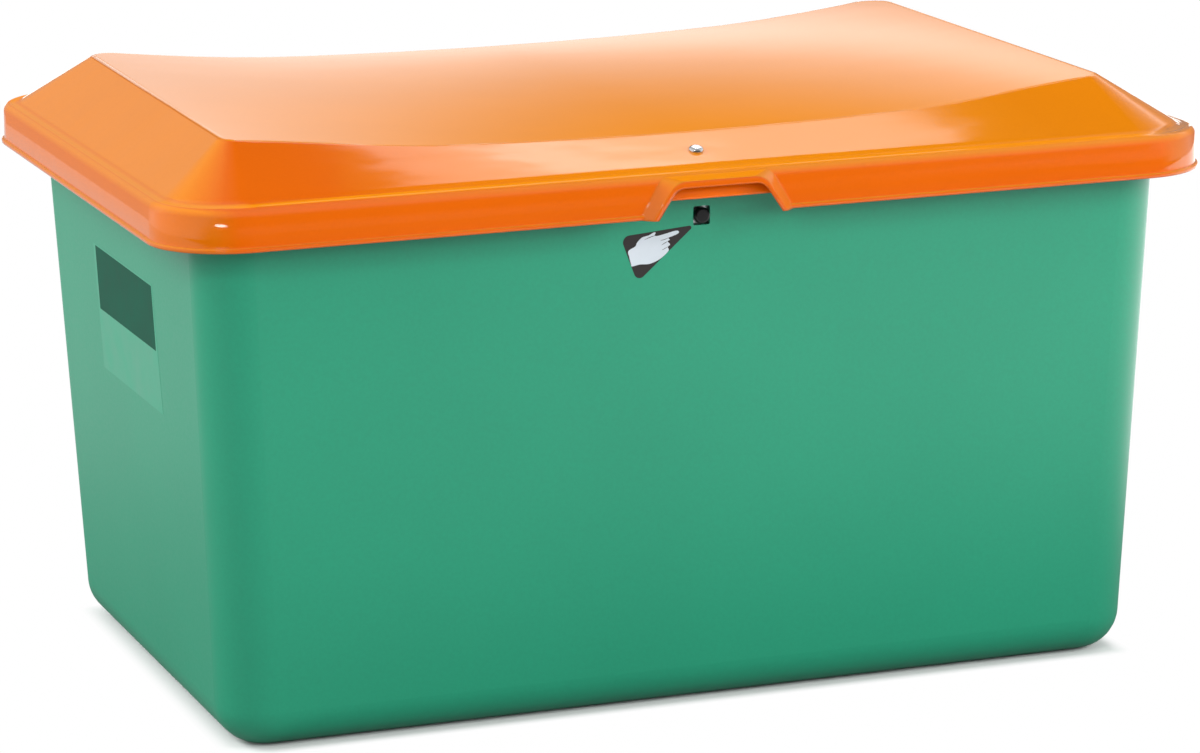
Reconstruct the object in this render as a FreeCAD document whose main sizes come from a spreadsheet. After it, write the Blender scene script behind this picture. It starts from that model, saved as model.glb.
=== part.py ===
import FreeCAD, Part
import math
import os

import Sketcher
from FreeCAD import Vector

# Grit bin for roadside salt and grit: a tapered moulded tub with a sagging hipped lid.
# Millimetres. X runs along the bin, Y from front to back, Z up.
# The origin is on the floor under the middle of the lid.

SIZES = {
    # the tub, a tapered open box whose top flange carries the lid
    "tub_height": 602.5,
    "floor_length": 1060,
    "floor_width": 652,
    "mouth_length": 1109,
    "mouth_width": 721.5,
    "tub_forward": 6,
    "wedge_margin": 10,
    "tub_corner_radius": 56,
    "floor_edge_radius": 46.5,
    "tub_wall": 4,
    "tub_floor": 5,
    "flange_length": 1174,
    "flange_width": 796,
    "flange_corner_radius": 78,
    "flange_thickness": 4,
    "flange_fillet": 6,
    "mouth_edge_radius": 2,
    # the square hole in the front wall that the push button snaps into
    "catch_hole_width": 19,
    "catch_hole_tall": 21,
    "catch_hole_drop": 51,
    "catch_hole_corner": 2,
    # the lid's skirt, with a small bead round its bottom edge
    "rim_length": 1200,
    "rim_width": 826,
    "rim_corner_radius": 91,
    "bead_depth": 3,
    "bead_tall": 5,
    "bead_rounding": 1.4,
    "skirt_tall": 46,
    "skirt_draft": 1,
    "skirt_wall": 4,
    "shoulder_radius": 9,
    # the lid's roof: four slopes from a foot line up to an outline above the ridges
    "roof_wall": 4.4,
    "foot_length": 1161,
    "foot_width": 786,
    "foot_corner_radius": 73,
    "foot_radius": 18,
    "foot_radius_inside": 8,
    "roof_rise": 61,
    "crest_length": 985,
    "crest_front": 264.6,
    "crest_front_middle": 184,
    "crest_rear": 311,
    "crest_rear_middle": 235,
    "crest_front_radius": 4,
    "crest_rear_radius": 32,
    # the sag across the lid's top
    "sag_floor": 28.5,
    "sag_tilt": 0.55,
    "sag_middle_half": 250,
    "sag_middle_radius": 8000,
    "sag_outer_half": 367,
    "sag_outer_radius": 1700,
    "sag_reach": 640,
    "top_edge_radius": 9,
    # the grip hood at the middle of the lid's front
    "hood_reach": 9.3,
    "hood_root": 10,
    "hood_root_drop": 1,
    "hood_root_half_bottom": 98,
    "hood_root_half_top": 72,
    "hood_root_rounding": 12,
    "hood_half_bottom": 76,
    "hood_half_top": 50,
    "hood_drop": 6,
    "hood_rounding": 22,
    "hood_wall": 5,
    "grip_half_bottom": 70,
    "grip_half_top": 48,
    "grip_band": 8,
    "grip_rounding": 17,
    "web_thickness": 4,
    "web_lift": 17,
    # the spring catch that hangs from the lid behind the front wall
    "bolt_setback": 64,
    "bolt_bore": 6.4,
    "bolt_diameter": 6,
    "bolt_head_diameter": 16,
    "bolt_head_tall": 4,
    "catch_washer_diameter": 12.5,
    "catch_washer_thickness": 1.2,
    "catch_nut_width": 10,
    "catch_nut_tall": 5,
    "bolt_tail": 2,
    "dome_share": 0.85,
    "stirrup_width": 32,
    "stirrup_sheet": 2,
    "stirrup_front": 357,
    "stirrup_depth": 36,
    "stirrup_below_axis": 15,
    "stirrup_bend": 2,
    "button_diameter": 18,
    "button_proud": 3.5,
    "button_rounding": 2.5,
    "button_collar_diameter": 25,
    "button_collar_thickness": 3,
    "button_stem_diameter": 8,
    "button_stem_tail": 7,
    "slide_clearance": 0.1,
    "seat_clearance": 0.3,
    "clip_groove_depth": 1,
    "clip_thickness": 1,
    "clip_diameter": 13,
    "clip_gap": 4,
    "spring_wire": 1.2,
    "spring_diameter": 15,
    "spring_turns": 4,
    # the two hinges behind the bin
    "hinge_spacing": 760,
    "hinge_width": 60,
    "hinge_drop": 27.5,
    "hinge_standoff": 6.5,
    "knuckle_diameter": 12,
    "knuckle_width": 20,
    "knuckle_gap": 0.25,
    "knuckle_relief": 1,
    "pin_diameter": 6,
    "pin_clearance": 0.05,
    "pin_head_diameter": 9,
    "pin_head_thickness": 2,
    "pin_tail": 4,
    "lid_leaf_sheet": 3,
    "lid_leaf_tall": 22,
    "lid_bolt_height": 13.5,
    "lid_bolt_spacing": 36,
    "lid_bolt_diameter": 5,
    "lid_bolt_head": 10,
    "lid_bolt_head_tall": 2.7,
    "lid_nut_width": 8,
    "lid_nut_tall": 3.5,
    "lid_plate_tall": 15,
    "lid_plate_thickness": 1.5,
    "tub_leaf_sheet": 4,
    "tub_leaf_reach": 32,
    "tub_leaf_bottom": 92,
    "tub_leaf_bend": 3,
    "tub_bolt_low": 62,
    "tub_bolt_spacing": 36,
    "tub_bolt_diameter": 8,
    "tub_bolt_head": 17,
    "tub_bolt_head_tall": 4.5,
    "tub_nut_width": 13,
    "tub_nut_tall": 6.5,
    "tub_plate_tall": 34,
    "tub_plate_thickness": 2.5,
    "bolt_hole_clearance": 0.3,
    "bolt_end": 1.5,
    "plate_corner": 4,
}

doc = FreeCAD.newDocument("grit_bin")
sheet = doc.addObject("Spreadsheet::Sheet", "Sizes")
for row, (alias, number) in enumerate(SIZES.items(), start=1):
    sheet.set(f"A{row}", alias)
    sheet.set(f"B{row}", str(number))
    sheet.setAlias(f"B{row}", alias)
doc.recompute()


# Reading sizes and binding places to them


def bound(text):
    """An expression written with the sheet's words, made ready for an object of the document."""
    pieces = []
    word = ""
    for letter in text + " ":
        if letter.isalnum() or letter == "_":
            word += letter
            continue
        pieces.append(f"Sizes.{word}" if word in SIZES else word)
        pieces.append(letter)
        word = ""
    return "".join(pieces).strip()


def size(text):
    """The number that an expression gives now."""
    return float(sheet.evalExpression(text))


# Lines and angles that several pieces share

DRAFT = "(skirt_draft * 1 deg)"
SHOULDER = "(tub_height + roof_wall)"
RIM = f"({SHOULDER} - skirt_tall)"
ROOF_SLOPE = "(roof_rise / (foot_width / 2 - crest_front_middle))"
WALL_LEAN = "((mouth_width - floor_width) / 2 / tub_height)"
HINGE_Z = "(tub_height - hinge_drop)"
SKIRT_LEAN = f"tan({DRAFT})"


def skirt_face(z):
    """How far the skirt's outer face at the front or rear stands from the middle, at height z."""
    return f"(rim_width / 2 - bead_depth - (({z}) - {RIM}) * {SKIRT_LEAN})"


def wall_face(z):
    """How far the tub's outer face at the front or rear stands from the tub's middle, at height z."""
    return f"(floor_width / 2 + {WALL_LEAN} * ({z}))"


def roof_outside(y):
    """Height of the lid's front slope on the centre line, at depth y."""
    return f"({SHOULDER} + (({y}) + foot_width / 2) * {ROOF_SLOPE})"


HINGE_Y = f"({skirt_face(HINGE_Z)} + hinge_standoff / cos({DRAFT}))"
HINGE_LEFT = "-hinge_spacing / 2"
HINGE_RIGHT = "hinge_spacing / 2"
BOLT_Y = "(bolt_setback - rim_width / 2)"
BOLT_Z = roof_outside(BOLT_Y)
HOLE_Z = "(tub_height - catch_hole_drop)"
HOLE_Y = f"(-tub_forward - {wall_face(HOLE_Z)})"
ROOF_TILT = f"atan({ROOF_SLOPE})"
LEAF_TILT = f"(-atan({WALL_LEAN}))"
REAR_WALL = f"(({HINGE_Y} - {wall_face(HINGE_Z)} + tub_forward) * cos({LEAF_TILT}))"
HOOD_FRONT = "(-rim_width / 2 - hood_reach)"
HOOD_ROOT = "(-rim_width / 2 + bead_depth + hood_root)"
HOOD_TOP = f"({SHOULDER} - hood_drop)"
WEB_FRONT = f"({HOOD_ROOT} - web_thickness)"


# The two sizes of bolt that hold the hinges, and where they sit in a hinge's own frame

TUB_BOLTS = {
    "diameter": "tub_bolt_diameter",
    "head": "tub_bolt_head",
    "head_tall": "tub_bolt_head_tall",
    "nut_width": "tub_nut_width",
    "nut_tall": "tub_nut_tall",
    "spacing": "tub_bolt_spacing",
    "height": "(-tub_bolt_low)",
}
LID_BOLTS = {
    "diameter": "lid_bolt_diameter",
    "head": "lid_bolt_head",
    "head_tall": "lid_bolt_head_tall",
    "nut_width": "lid_nut_width",
    "nut_tall": "lid_nut_tall",
    "spacing": "lid_bolt_spacing",
    "height": "lid_bolt_height",
}


# Sketching and feature helpers


def new_body(label):
    body = doc.addObject("PartDesign::Body", label)
    body.Label = label
    return body


def origin_plane(body, role):
    return next(item for item in body.Origin.OriginFeatures if item.Role == role)


def place(body, x="0", y="0", z="0", tilt=None):
    """Sets a body down at a place, turned about X by tilt."""
    if tilt is not None:
        body.Placement = FreeCAD.Placement(Vector(), FreeCAD.Rotation(Vector(1, 0, 0), 1))
        body.setExpression("Placement.Rotation.Angle", bound(tilt))
    for axis, text in zip("xyz", (x, y, z)):
        body.setExpression(f"Placement.Base.{axis}", bound(text))


class Outline:
    """A closed outline on a body's own plane, with every place tied to the sheet."""

    def __init__(self, body, name, plane="XY_Plane", offset="0"):
        self.sketch = body.newObject("Sketcher::SketchObject", name)
        self.sketch.AttachmentSupport = [(origin_plane(body, plane), "")]
        self.sketch.MapMode = "FlatFace"
        self.sketch.setExpression("AttachmentOffset.Base.z", bound(offset))

    def tie(self, kind, *where, to):
        index = self.sketch.addConstraint(Sketcher.Constraint(kind, *where, size(to)))
        self.sketch.setExpression(f"Constraints[{index}]", bound(to))

    def join(self, kind, *where):
        self.sketch.addConstraint(Sketcher.Constraint(kind, *where))

    def fix_point(self, index, point, x, y):
        self.tie("DistanceX", -1, 1, index, point, to=x)
        self.tie("DistanceY", -1, 1, index, point, to=y)

    def line(self, start, end):
        start_point = Vector(size(start[0]), size(start[1]), 0)
        end_point = Vector(size(end[0]), size(end[1]), 0)
        return self.sketch.addGeometry(Part.LineSegment(start_point, end_point))

    def polygon(self, points):
        lines = [self.line(points[i], points[(i + 1) % len(points)]) for i in range(len(points))]
        for i, index in enumerate(lines):
            self.join("Coincident", index, 2, lines[(i + 1) % len(lines)], 1)
            self.fix_point(index, 1, *points[i])
        return self

    def circle(self, x, y, diameter):
        centre = Vector(size(x), size(y), 0)
        round_edge = Part.Circle(centre, Vector(0, 0, 1), size(diameter) / 2)
        index = self.sketch.addGeometry(round_edge)
        self.fix_point(index, 3, x, y)
        self.tie("Diameter", index, to=diameter)
        return self

    def corner(self, x, y, radius, quarter):
        """A quarter of a circle, tied at its centre and square to the sides it joins."""
        circle = Part.Circle(Vector(size(x), size(y), 0), Vector(0, 0, 1), size(radius))
        start = quarter * math.pi / 2
        index = self.sketch.addGeometry(Part.ArcOfCircle(circle, start, start + math.pi / 2))
        self.fix_point(index, 3, x, y)
        self.tie("Radius", index, to=radius)
        level_end = 1 if quarter % 2 == 0 else 2
        self.join("Horizontal", index, 3, index, level_end)
        self.join("Vertical", index, 3, index, 3 - level_end)
        return index

    def link(self, first, second):
        """A straight side from the end of one corner to the start of the next."""
        a = self.sketch.getPoint(first, 2)
        b = self.sketch.getPoint(second, 1)
        index = self.sketch.addGeometry(Part.LineSegment(a, b))
        self.join("Coincident", index, 1, first, 2)
        self.join("Coincident", index, 2, second, 1)

    def rounded_rectangle(self, half_x, half_y, radius, middle_y="0"):
        signs = ((1, 1), (-1, 1), (-1, -1), (1, -1))
        corners = []
        for quarter, (side_x, side_y) in enumerate(signs):
            x = f"{side_x} * ({half_x} - {radius})"
            y = f"{middle_y} + {side_y} * ({half_y} - {radius})"
            corners.append(self.corner(x, y, radius, quarter))
        for i, index in enumerate(corners):
            self.link(index, corners[(i + 1) % 4])
        return self


def extrude(body, kind, outline, length, reverse=False, both=False, name=""):
    feature = body.newObject(f"PartDesign::{kind}", name or f"{outline.sketch.Name}_{kind.lower()}")
    feature.Profile = outline.sketch
    feature.setExpression("Length", bound(length))
    feature.Reversed = reverse
    if both:
        feature.SideType = "Symmetric"
    doc.recompute()
    return feature


def pad(body, outline, length, **options):
    return extrude(body, "Pad", outline, length, **options)


def check_cut(body, feature, before):
    """A cut must leave more faces or clearly less material."""
    more_faces = len(body.Shape.Faces) > len(before.Faces)
    less_material = body.Shape.Volume < 0.999 * before.Volume
    if not (more_faces or less_material):
        raise ValueError(f"{feature.Name} of {body.Label} cuts nothing")


def cut(body, outline, length, **options):
    """A pocket that must take material away."""
    before = body.Shape
    feature = extrude(body, "Pocket", outline, length, **options)
    check_cut(body, feature, before)
    return feature


def loft(body, kind, *outlines):
    feature = body.newObject(f"PartDesign::{kind}", f"{outlines[0].sketch.Name}_loft")
    feature.Profile = outlines[0].sketch
    feature.Sections = [item.sketch for item in outlines[1:]]
    feature.Ruled = True
    doc.recompute()
    return feature


def hollow_out(body, *cores):
    """Takes other bodies' shapes out of a body."""
    before = body.Shape
    feature = body.newObject("PartDesign::Boolean", f"{cores[0].Label}_taken_out")
    feature.Type = "Cut"
    feature.addObjects(list(cores))
    doc.recompute()
    check_cut(body, feature, before)
    return feature


def chosen_edges(body, keep):
    shape = body.Tip.Shape
    return [f"Edge{i}" for i, edge in enumerate(shape.Edges, start=1) if keep(edge)]


def fillet(body, name, radius, keep):
    names = chosen_edges(body, keep)
    if not names:
        raise ValueError(f"{name} of {body.Label} finds no edge")
    base = body.Tip
    feature = body.newObject("PartDesign::Fillet", name)
    feature.Base = (base, names)
    feature.setExpression("Radius", bound(radius))
    doc.recompute()
    return feature


def revolve(body, outline, axis_role="Y_Axis"):
    feature = body.newObject("PartDesign::Revolution", f"{outline.sketch.Name}_turned")
    feature.Profile = outline.sketch
    feature.ReferenceAxis = (origin_plane(body, axis_role), [""])
    feature.Angle = 360
    doc.recompute()
    return feature


def at_height(z, tolerance=0.01):
    """Picks the edges that lie wholly at height z."""
    level = size(z)

    def keep(edge):
        box = edge.BoundBox
        return abs(box.ZMin - level) < tolerance and abs(box.ZMax - level) < tolerance

    return keep


def place_beside(piece, middle, tilt, side, bolts, depth):
    """Turns a fastener to face the rear and sets it in the hinge's own frame."""
    height = bolts["height"]
    x = f"({middle} + {side} * {bolts['spacing']} / 2)"
    y = f"({HINGE_Y} + {depth} * cos({tilt}) - {height} * sin({tilt}))"
    z = f"({HINGE_Z} + {depth} * sin({tilt}) + {height} * cos({tilt}))"
    place(piece, x=x, y=y, z=z, tilt=f"({tilt} - 90 deg)")


def wall_holes(body, tilt, depth, bolts):
    """The holes for both hinges' bolts through the rear wall whose middle lies at depth."""
    height = bolts["height"]
    y = f"({HINGE_Y} + {depth} * cos({tilt}) - {height} * sin({tilt}))"
    z = f"({HINGE_Z} + {depth} * sin({tilt}) + {height} * cos({tilt}))"
    holes = Outline(body, f"{body.Label}_hinge_holes", "XZ_Plane", f"-{y}")
    for middle in (HINGE_LEFT, HINGE_RIGHT):
        for side in (-1, 1):
            x = f"({middle} + {side} * {bolts['spacing']} / 2)"
            holes.circle(x, z, f"{bolts['diameter']} + 2 * bolt_hole_clearance")
    cut(body, holes, "8 * tub_wall", both=True)


# The tub


def tapered_block(body, low, high, corner_radius):
    """A block that widens upwards. low and high are (z, half_x, half_y)."""
    name = body.Label
    low_z, low_x, low_y = low
    high_z, high_x, high_y = high
    front = Outline(body, f"{name}_front_view", "XZ_Plane", "tub_forward")
    front.polygon(
        [
            (f"-({low_x})", low_z),
            (low_x, low_z),
            (high_x, high_z),
            (f"-({high_x})", high_z),
        ]
    )
    pad(body, front, f"2 * ({high_y})", both=True)
    for side in (-1, 1):
        wedge = Outline(body, f"{name}_side_wedge", "YZ_Plane")
        lean = f"((({high_y}) - ({low_y})) / (({high_z}) - ({low_z})))"
        foot = f"({side} * (({low_y}) - {lean} * wedge_margin) - tub_forward)"
        head = f"({side} * (({high_y}) + {lean} * wedge_margin) - tub_forward)"
        outside = f"({side} * (({high_y}) + 4 * wedge_margin) - tub_forward)"
        below = f"({low_z}) - wedge_margin"
        above = f"({high_z}) + wedge_margin"
        wedge.polygon([(foot, below), (head, above), (outside, above), (outside, below)])
        cut(body, wedge, f"4 * ({high_x})", both=True)
    bottom, top = size(low_z), size(high_z)

    def upright(edge):
        box = edge.BoundBox
        return abs(box.ZMin - bottom) < 0.01 and abs(box.ZMax - top) < 0.01

    fillet(body, f"{name}_corners", corner_radius, upright)


def build_tub_core():
    """The space inside the tub, the shape of the mould's male half."""
    core = new_body("tub_core")
    lean_x = "((mouth_length - floor_length) / 2 / tub_height)"
    inside_x = f"(floor_length / 2 + {lean_x} * tub_floor - tub_wall)"
    inside_y = f"({wall_face('tub_floor')} - tub_wall)"
    low = ("tub_floor", inside_x, inside_y)
    high = ("tub_height", "(mouth_length / 2 - tub_wall)", "(mouth_width / 2 - tub_wall)")
    tapered_block(core, low, high, "tub_corner_radius - tub_wall")
    fillet(core, "core_floor_edge", "floor_edge_radius - tub_wall", at_height("tub_floor"))
    return core


def build_tub():
    tub = new_body("tub")
    low = ("0", "floor_length / 2", "floor_width / 2")
    high = ("tub_height", "mouth_length / 2", "mouth_width / 2")
    tapered_block(tub, low, high, "tub_corner_radius")
    fillet(tub, "floor_edge", "floor_edge_radius", at_height("0"))

    flange = Outline(tub, "flange_outline", offset="tub_height")
    flange.rounded_rectangle("flange_length / 2", "flange_width / 2", "flange_corner_radius")
    pad(tub, flange, "flange_thickness", reverse=True)
    flange_bottom = size("tub_height - flange_thickness")
    wall_limit = size("(mouth_length - tub_corner_radius) / 2")

    def under_flange(edge):
        box = edge.BoundBox
        level = abs(box.ZMin - flange_bottom) < 0.01 and abs(box.ZMax - flange_bottom) < 0.01
        reach_x = max(abs(box.XMin), abs(box.XMax))
        reach_y = max(abs(box.YMin), abs(box.YMax))
        inside_x = reach_x < size("flange_length / 2 - 5")
        inside_y = reach_y < size("flange_width / 2 - 5")
        return level and inside_x and inside_y

    fillet(tub, "flange_root", "flange_fillet", under_flange)

    hollow_out(tub, build_tub_core())

    hole = Outline(tub, "catch_hole", "XZ_Plane", f"-({HOLE_Y})")
    half_wide = "catch_hole_width / 2"
    half_tall = "catch_hole_tall / 2"
    corners = [
        (f"-{half_wide}", f"{HOLE_Z} - {half_tall}"),
        (half_wide, f"{HOLE_Z} - {half_tall}"),
        (half_wide, f"{HOLE_Z} + {half_tall}"),
        (f"-{half_wide}", f"{HOLE_Z} + {half_tall}"),
    ]
    hole.polygon(corners)
    cut(tub, hole, "4 * tub_wall", both=True)
    top = size("tub_height")

    def hole_corners(edge):
        box = edge.BoundBox
        near = box.ZMax < top - 20 and box.ZMin > top - 90 and box.YMax < size(HOLE_Y) + 10
        return near and box.XLength < 0.1 and box.ZLength < 1 and abs(box.XMin) < size("catch_hole_width")

    fillet(tub, "catch_hole_corners", "catch_hole_corner", hole_corners)

    def mouth_edges(edge):
        box = edge.BoundBox
        level = abs(box.ZMin - top) < 0.01 and abs(box.ZMax - top) < 0.01
        reach_y = max(abs(box.YMin), abs(box.YMax))
        reach_x = max(abs(box.XMin), abs(box.XMax))
        return level and reach_x < wall_limit + 40 and reach_y < size("flange_width / 2 - 5")

    fillet(tub, "mouth_edge", "mouth_edge_radius", mouth_edges)
    wall_holes(tub, LEAF_TILT, f"(-{REAR_WALL} - tub_wall / 2)", TUB_BOLTS)
    return tub


# The lid


def skirt_outline(body, name, z, inset):
    """The skirt's outline at height z, drawn in by inset from the outer face."""
    outline = Outline(body, name, offset=z)
    lean = f"((({z}) - {RIM}) * {SKIRT_LEAN} + bead_depth + {inset})"
    radius = f"(rim_corner_radius - {lean})"
    outline.rounded_rectangle(f"(rim_length / 2 - {lean})", f"(rim_width / 2 - {lean})", radius)
    return outline


def bowed_outline(body, name, z):
    """The roof's crest outline: straight ends, and long sides that bow in towards the middle."""
    outline = Outline(body, name, offset=z)
    half = "crest_length / 2"
    sketch = outline.sketch
    sides = {}
    for side, end, middle, radius in (
        (-1, "crest_front", "crest_front_middle", "crest_front_radius"),
        (1, "crest_rear", "crest_rear_middle", "crest_rear_radius"),
    ):
        y_end = size(end) * side
        y_middle = size(middle) * side
        turn = size(radius)
        x_end = size(half)
        left = Vector(-x_end + turn, y_end, 0)
        right = Vector(x_end - turn, y_end, 0)
        bow = sketch.addGeometry(Part.Arc(left, Vector(0, y_middle, 0), right))
        apex = sketch.addGeometry(Part.Point(Vector(0, y_middle, 0)), True)
        outline.fix_point(apex, 1, "0", f"{side} * {middle}")
        outline.join("PointOnObject", apex, 1, bow)
        sides[side] = bow
    corners = []
    for quarter, (side_x, side_y) in enumerate(((1, 1), (-1, 1), (-1, -1), (1, -1))):
        end = "crest_rear" if side_y > 0 else "crest_front"
        radius = f"{end}_radius"
        x = f"{side_x} * ({half} - {radius})"
        y = f"{side_y} * ({end} - {radius})"
        corners.append(outline.corner(x, y, radius, quarter))
    outline.link(corners[1], corners[2])
    outline.link(corners[3], corners[0])
    for side, right, left in ((1, 0, 1), (-1, 3, 2)):
        bow = sides[side]
        right_point = 2 if right == 0 else 1
        left_point = 1 if left == 1 else 2
        bow_points = end_points(sketch, bow)
        outline.join("Coincident", bow, bow_points["right"], corners[right], right_point)
        outline.join("Coincident", bow, bow_points["left"], corners[left], left_point)
    return outline


def end_points(sketch, index):
    """Which end of an arc lies to the right and which to the left."""
    start_right = sketch.getPoint(index, 1).x > sketch.getPoint(index, 2).x
    return {"right": 1 if start_right else 2, "left": 2 if start_right else 1}


def sag_outline(body, name, drop):
    """The region above the lid's sagging top, cut away along the whole depth."""
    outline = Outline(body, name, "XZ_Plane")
    sketch = outline.sketch
    sketch.AttachmentOffset = FreeCAD.Placement(Vector(), FreeCAD.Rotation(Vector(1, 0, 0), 1))
    sketch.setExpression("AttachmentOffset.Rotation.Angle", bound("1 deg * sag_tilt"))
    floor = f"({SHOULDER} + sag_floor - {drop})"
    inner = size("sag_middle_half")
    outer = size("sag_outer_half")
    reach = size("sag_reach")
    wide_radius = size("sag_middle_radius")
    tight_radius = size("sag_outer_radius")
    bottom = size(floor)
    lean = inner / wide_radius
    inner_z = bottom + wide_radius - (wide_radius**2 - inner**2) ** 0.5
    centre_x = inner - tight_radius * lean
    centre_z = inner_z + tight_radius * (1 - lean**2) ** 0.5
    outer_z = centre_z - (tight_radius**2 - (outer - centre_x) ** 2) ** 0.5
    slope = (outer - centre_x) / (centre_z - outer_z)
    reach_z = outer_z + (reach - outer) * slope
    middle = Part.Arc(Vector(-inner, inner_z, 0), Vector(0, bottom, 0), Vector(inner, inner_z, 0))
    bend_x = (inner + outer) / 2
    bend_z = centre_z - (tight_radius**2 - (bend_x - centre_x) ** 2) ** 0.5
    chain = [sketch.addGeometry(middle)]
    for side in (1, -1):
        start = Vector(side * inner, inner_z, 0)
        through = Vector(side * bend_x, bend_z, 0)
        finish = Vector(side * outer, outer_z, 0)
        bend = sketch.addGeometry(Part.Arc(start, through, finish))
        rise = sketch.addGeometry(Part.LineSegment(finish, Vector(side * reach, reach_z, 0)))
        wall = sketch.addGeometry(
            Part.LineSegment(Vector(side * reach, reach_z, 0), Vector(side * reach, reach_z + 60, 0))
        )
        bend_ends = end_points(sketch, bend)
        middle_ends = end_points(sketch, chain[0])
        near, far = ("left", "right") if side > 0 else ("right", "left")
        outline.join("Tangent", chain[0], middle_ends[far], bend, bend_ends[near])
        outline.join("Tangent", bend, bend_ends[far], rise, 1)
        outline.join("Coincident", rise, 2, wall, 1)
        outline.join("Vertical", wall)
        outline.tie("Radius", bend, to="sag_outer_radius")
        outline.tie("DistanceX", -1, 1, bend, bend_ends[near], to=f"{side} * sag_middle_half")
        outline.tie("DistanceX", -1, 1, bend, bend_ends[far], to=f"{side} * sag_outer_half")
        outline.tie("DistanceX", -1, 1, rise, 2, to=f"{side} * sag_reach")
        chain.append(wall)
    outline.tie("Radius", chain[0], to="sag_middle_radius")
    outline.tie("DistanceY", -1, 1, chain[0], 3, to=f"{floor} + sag_middle_radius")
    outline.tie("DistanceX", -1, 1, chain[0], 3, to="0")
    lid_line = sketch.addGeometry(
        Part.LineSegment(Vector(reach, reach_z + 60, 0), Vector(-reach, reach_z + 60, 0))
    )
    outline.join("Coincident", lid_line, 1, chain[1], 2)
    outline.join("Coincident", lid_line, 2, chain[2], 2)
    outline.join("Horizontal", lid_line)
    outline.tie("DistanceY", -1, 1, lid_line, 1, to=f"{SHOULDER} + 2 * roof_rise + 100")
    return outline


def hipped_roof(body, prefix, drop):
    """Adds the four slopes and cuts the sag: the whole roof lies drop below the outer face."""
    foot = Outline(body, f"{prefix}_foot", offset=f"{SHOULDER} - {drop}")
    foot.rounded_rectangle("foot_length / 2", "foot_width / 2", "foot_corner_radius")
    crest = bowed_outline(body, f"{prefix}_crest", f"{SHOULDER} + roof_rise - {drop}")
    loft(body, "AdditiveLoft", crest, foot)
    sag = sag_outline(body, f"{prefix}_sag", drop)
    cut(body, sag, "rim_width", both=True)


def top_edges(drop):
    """The edges where the sagging top meets the slopes."""
    low = size(f"{SHOULDER} + sag_floor - {drop}") - 2

    def keep(edge):
        box = edge.BoundBox
        long_enough = box.DiagonalLength > 8
        crest_corner = box.ZLength > 12 and box.XLength < size("foot_corner_radius") + 30
        return box.ZMin > low and long_enough and not crest_corner

    return keep


def foot_edges(z):
    """The slopes' foot line at height z, inside the ledge's outer edge."""
    level = size(z)

    def keep(edge):
        box = edge.BoundBox
        flat = abs(box.ZMin - level) < 0.01 and abs(box.ZMax - level) < 0.01
        reach_x = max(abs(box.XMin), abs(box.XMax))
        reach_y = max(abs(box.YMin), abs(box.YMax))
        return flat and reach_x < size("foot_length / 2") + 1 and reach_y < size("foot_width / 2") + 1

    return keep


def ledge_edges(z):
    """The ledge's outer edge at height z, outside the slopes' foot line."""
    level = size(z)

    def keep(edge):
        box = edge.BoundBox
        flat = abs(box.ZMin - level) < 0.01 and abs(box.ZMax - level) < 0.01
        reach_x = max(abs(box.XMin), abs(box.XMax))
        reach_y = max(abs(box.YMin), abs(box.YMax))
        return flat and (reach_x > size("foot_length / 2") + 1 or reach_y > size("foot_width / 2") + 1)

    return keep


def outer_rim_edges(z):
    """The bead's outer edge at height z."""
    level = size(z)

    def keep(edge):
        box = edge.BoundBox
        flat = abs(box.ZMin - level) < 0.01 and abs(box.ZMax - level) < 0.01
        reach_x = max(abs(box.XMin), abs(box.XMax))
        reach_y = max(abs(box.YMin), abs(box.YMax))
        return flat and (reach_x > size("rim_length / 2 - 0.5") or reach_y > size("rim_width / 2 - 0.5"))

    return keep


def arch_outline(body, name, y, half_bottom, half_top, bottom, top, rounding):
    """A trapezoid standing on its wide side in a plane at depth y, its two top corners rounded."""
    outline = Outline(body, name, "XZ_Plane", f"-({y})")
    sketch = outline.sketch
    foot = Vector(size(half_bottom), size(bottom), 0)
    peak = Vector(size(half_top), size(top), 0)
    radius = size(rounding)
    climb = (peak - foot).normalize()
    turn = math.acos(-climb.x)
    tangent = radius * math.tan(turn / 2)
    low = peak - climb * tangent
    high = peak - Vector(tangent, 0, 0)
    centre = low + Vector(-climb.y, climb.x, 0) * radius
    between = centre + (peak - centre).normalize() * radius
    base = outline.line((f"-{half_bottom}", bottom), (half_bottom, bottom))
    outline.fix_point(base, 1, f"-{half_bottom}", bottom)
    outline.fix_point(base, 2, half_bottom, bottom)
    crown = sketch.addGeometry(Part.LineSegment(Vector(-high.x, high.y, 0), high))
    outline.join("Horizontal", crown)
    outline.tie("DistanceY", -1, 1, crown, 1, to=top)
    for side, base_end, crown_end in ((1, 2, 2), (-1, 1, 1)):
        flank = sketch.addGeometry(
            Part.LineSegment(Vector(side * foot.x, foot.y, 0), Vector(side * low.x, low.y, 0))
        )
        points = [Vector(side * point.x, point.y, 0) for point in (low, between, high)]
        bend = sketch.addGeometry(Part.Arc(*points))
        bend_ends = end_points(sketch, bend)
        outer, inner = ("right", "left") if side > 0 else ("left", "right")
        outline.join("Coincident", flank, 1, base, base_end)
        outline.join("Tangent", flank, 2, bend, bend_ends[outer])
        outline.join("Tangent", crown, crown_end, bend, bend_ends[inner])
        outline.tie("Radius", bend, to=rounding)
        corner = sketch.addGeometry(Part.Point(Vector(side * peak.x, peak.y, 0)), True)
        outline.fix_point(corner, 1, f"{side} * {half_top}", top)
        outline.join("PointOnObject", corner, 1, flank)
    return outline


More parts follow.
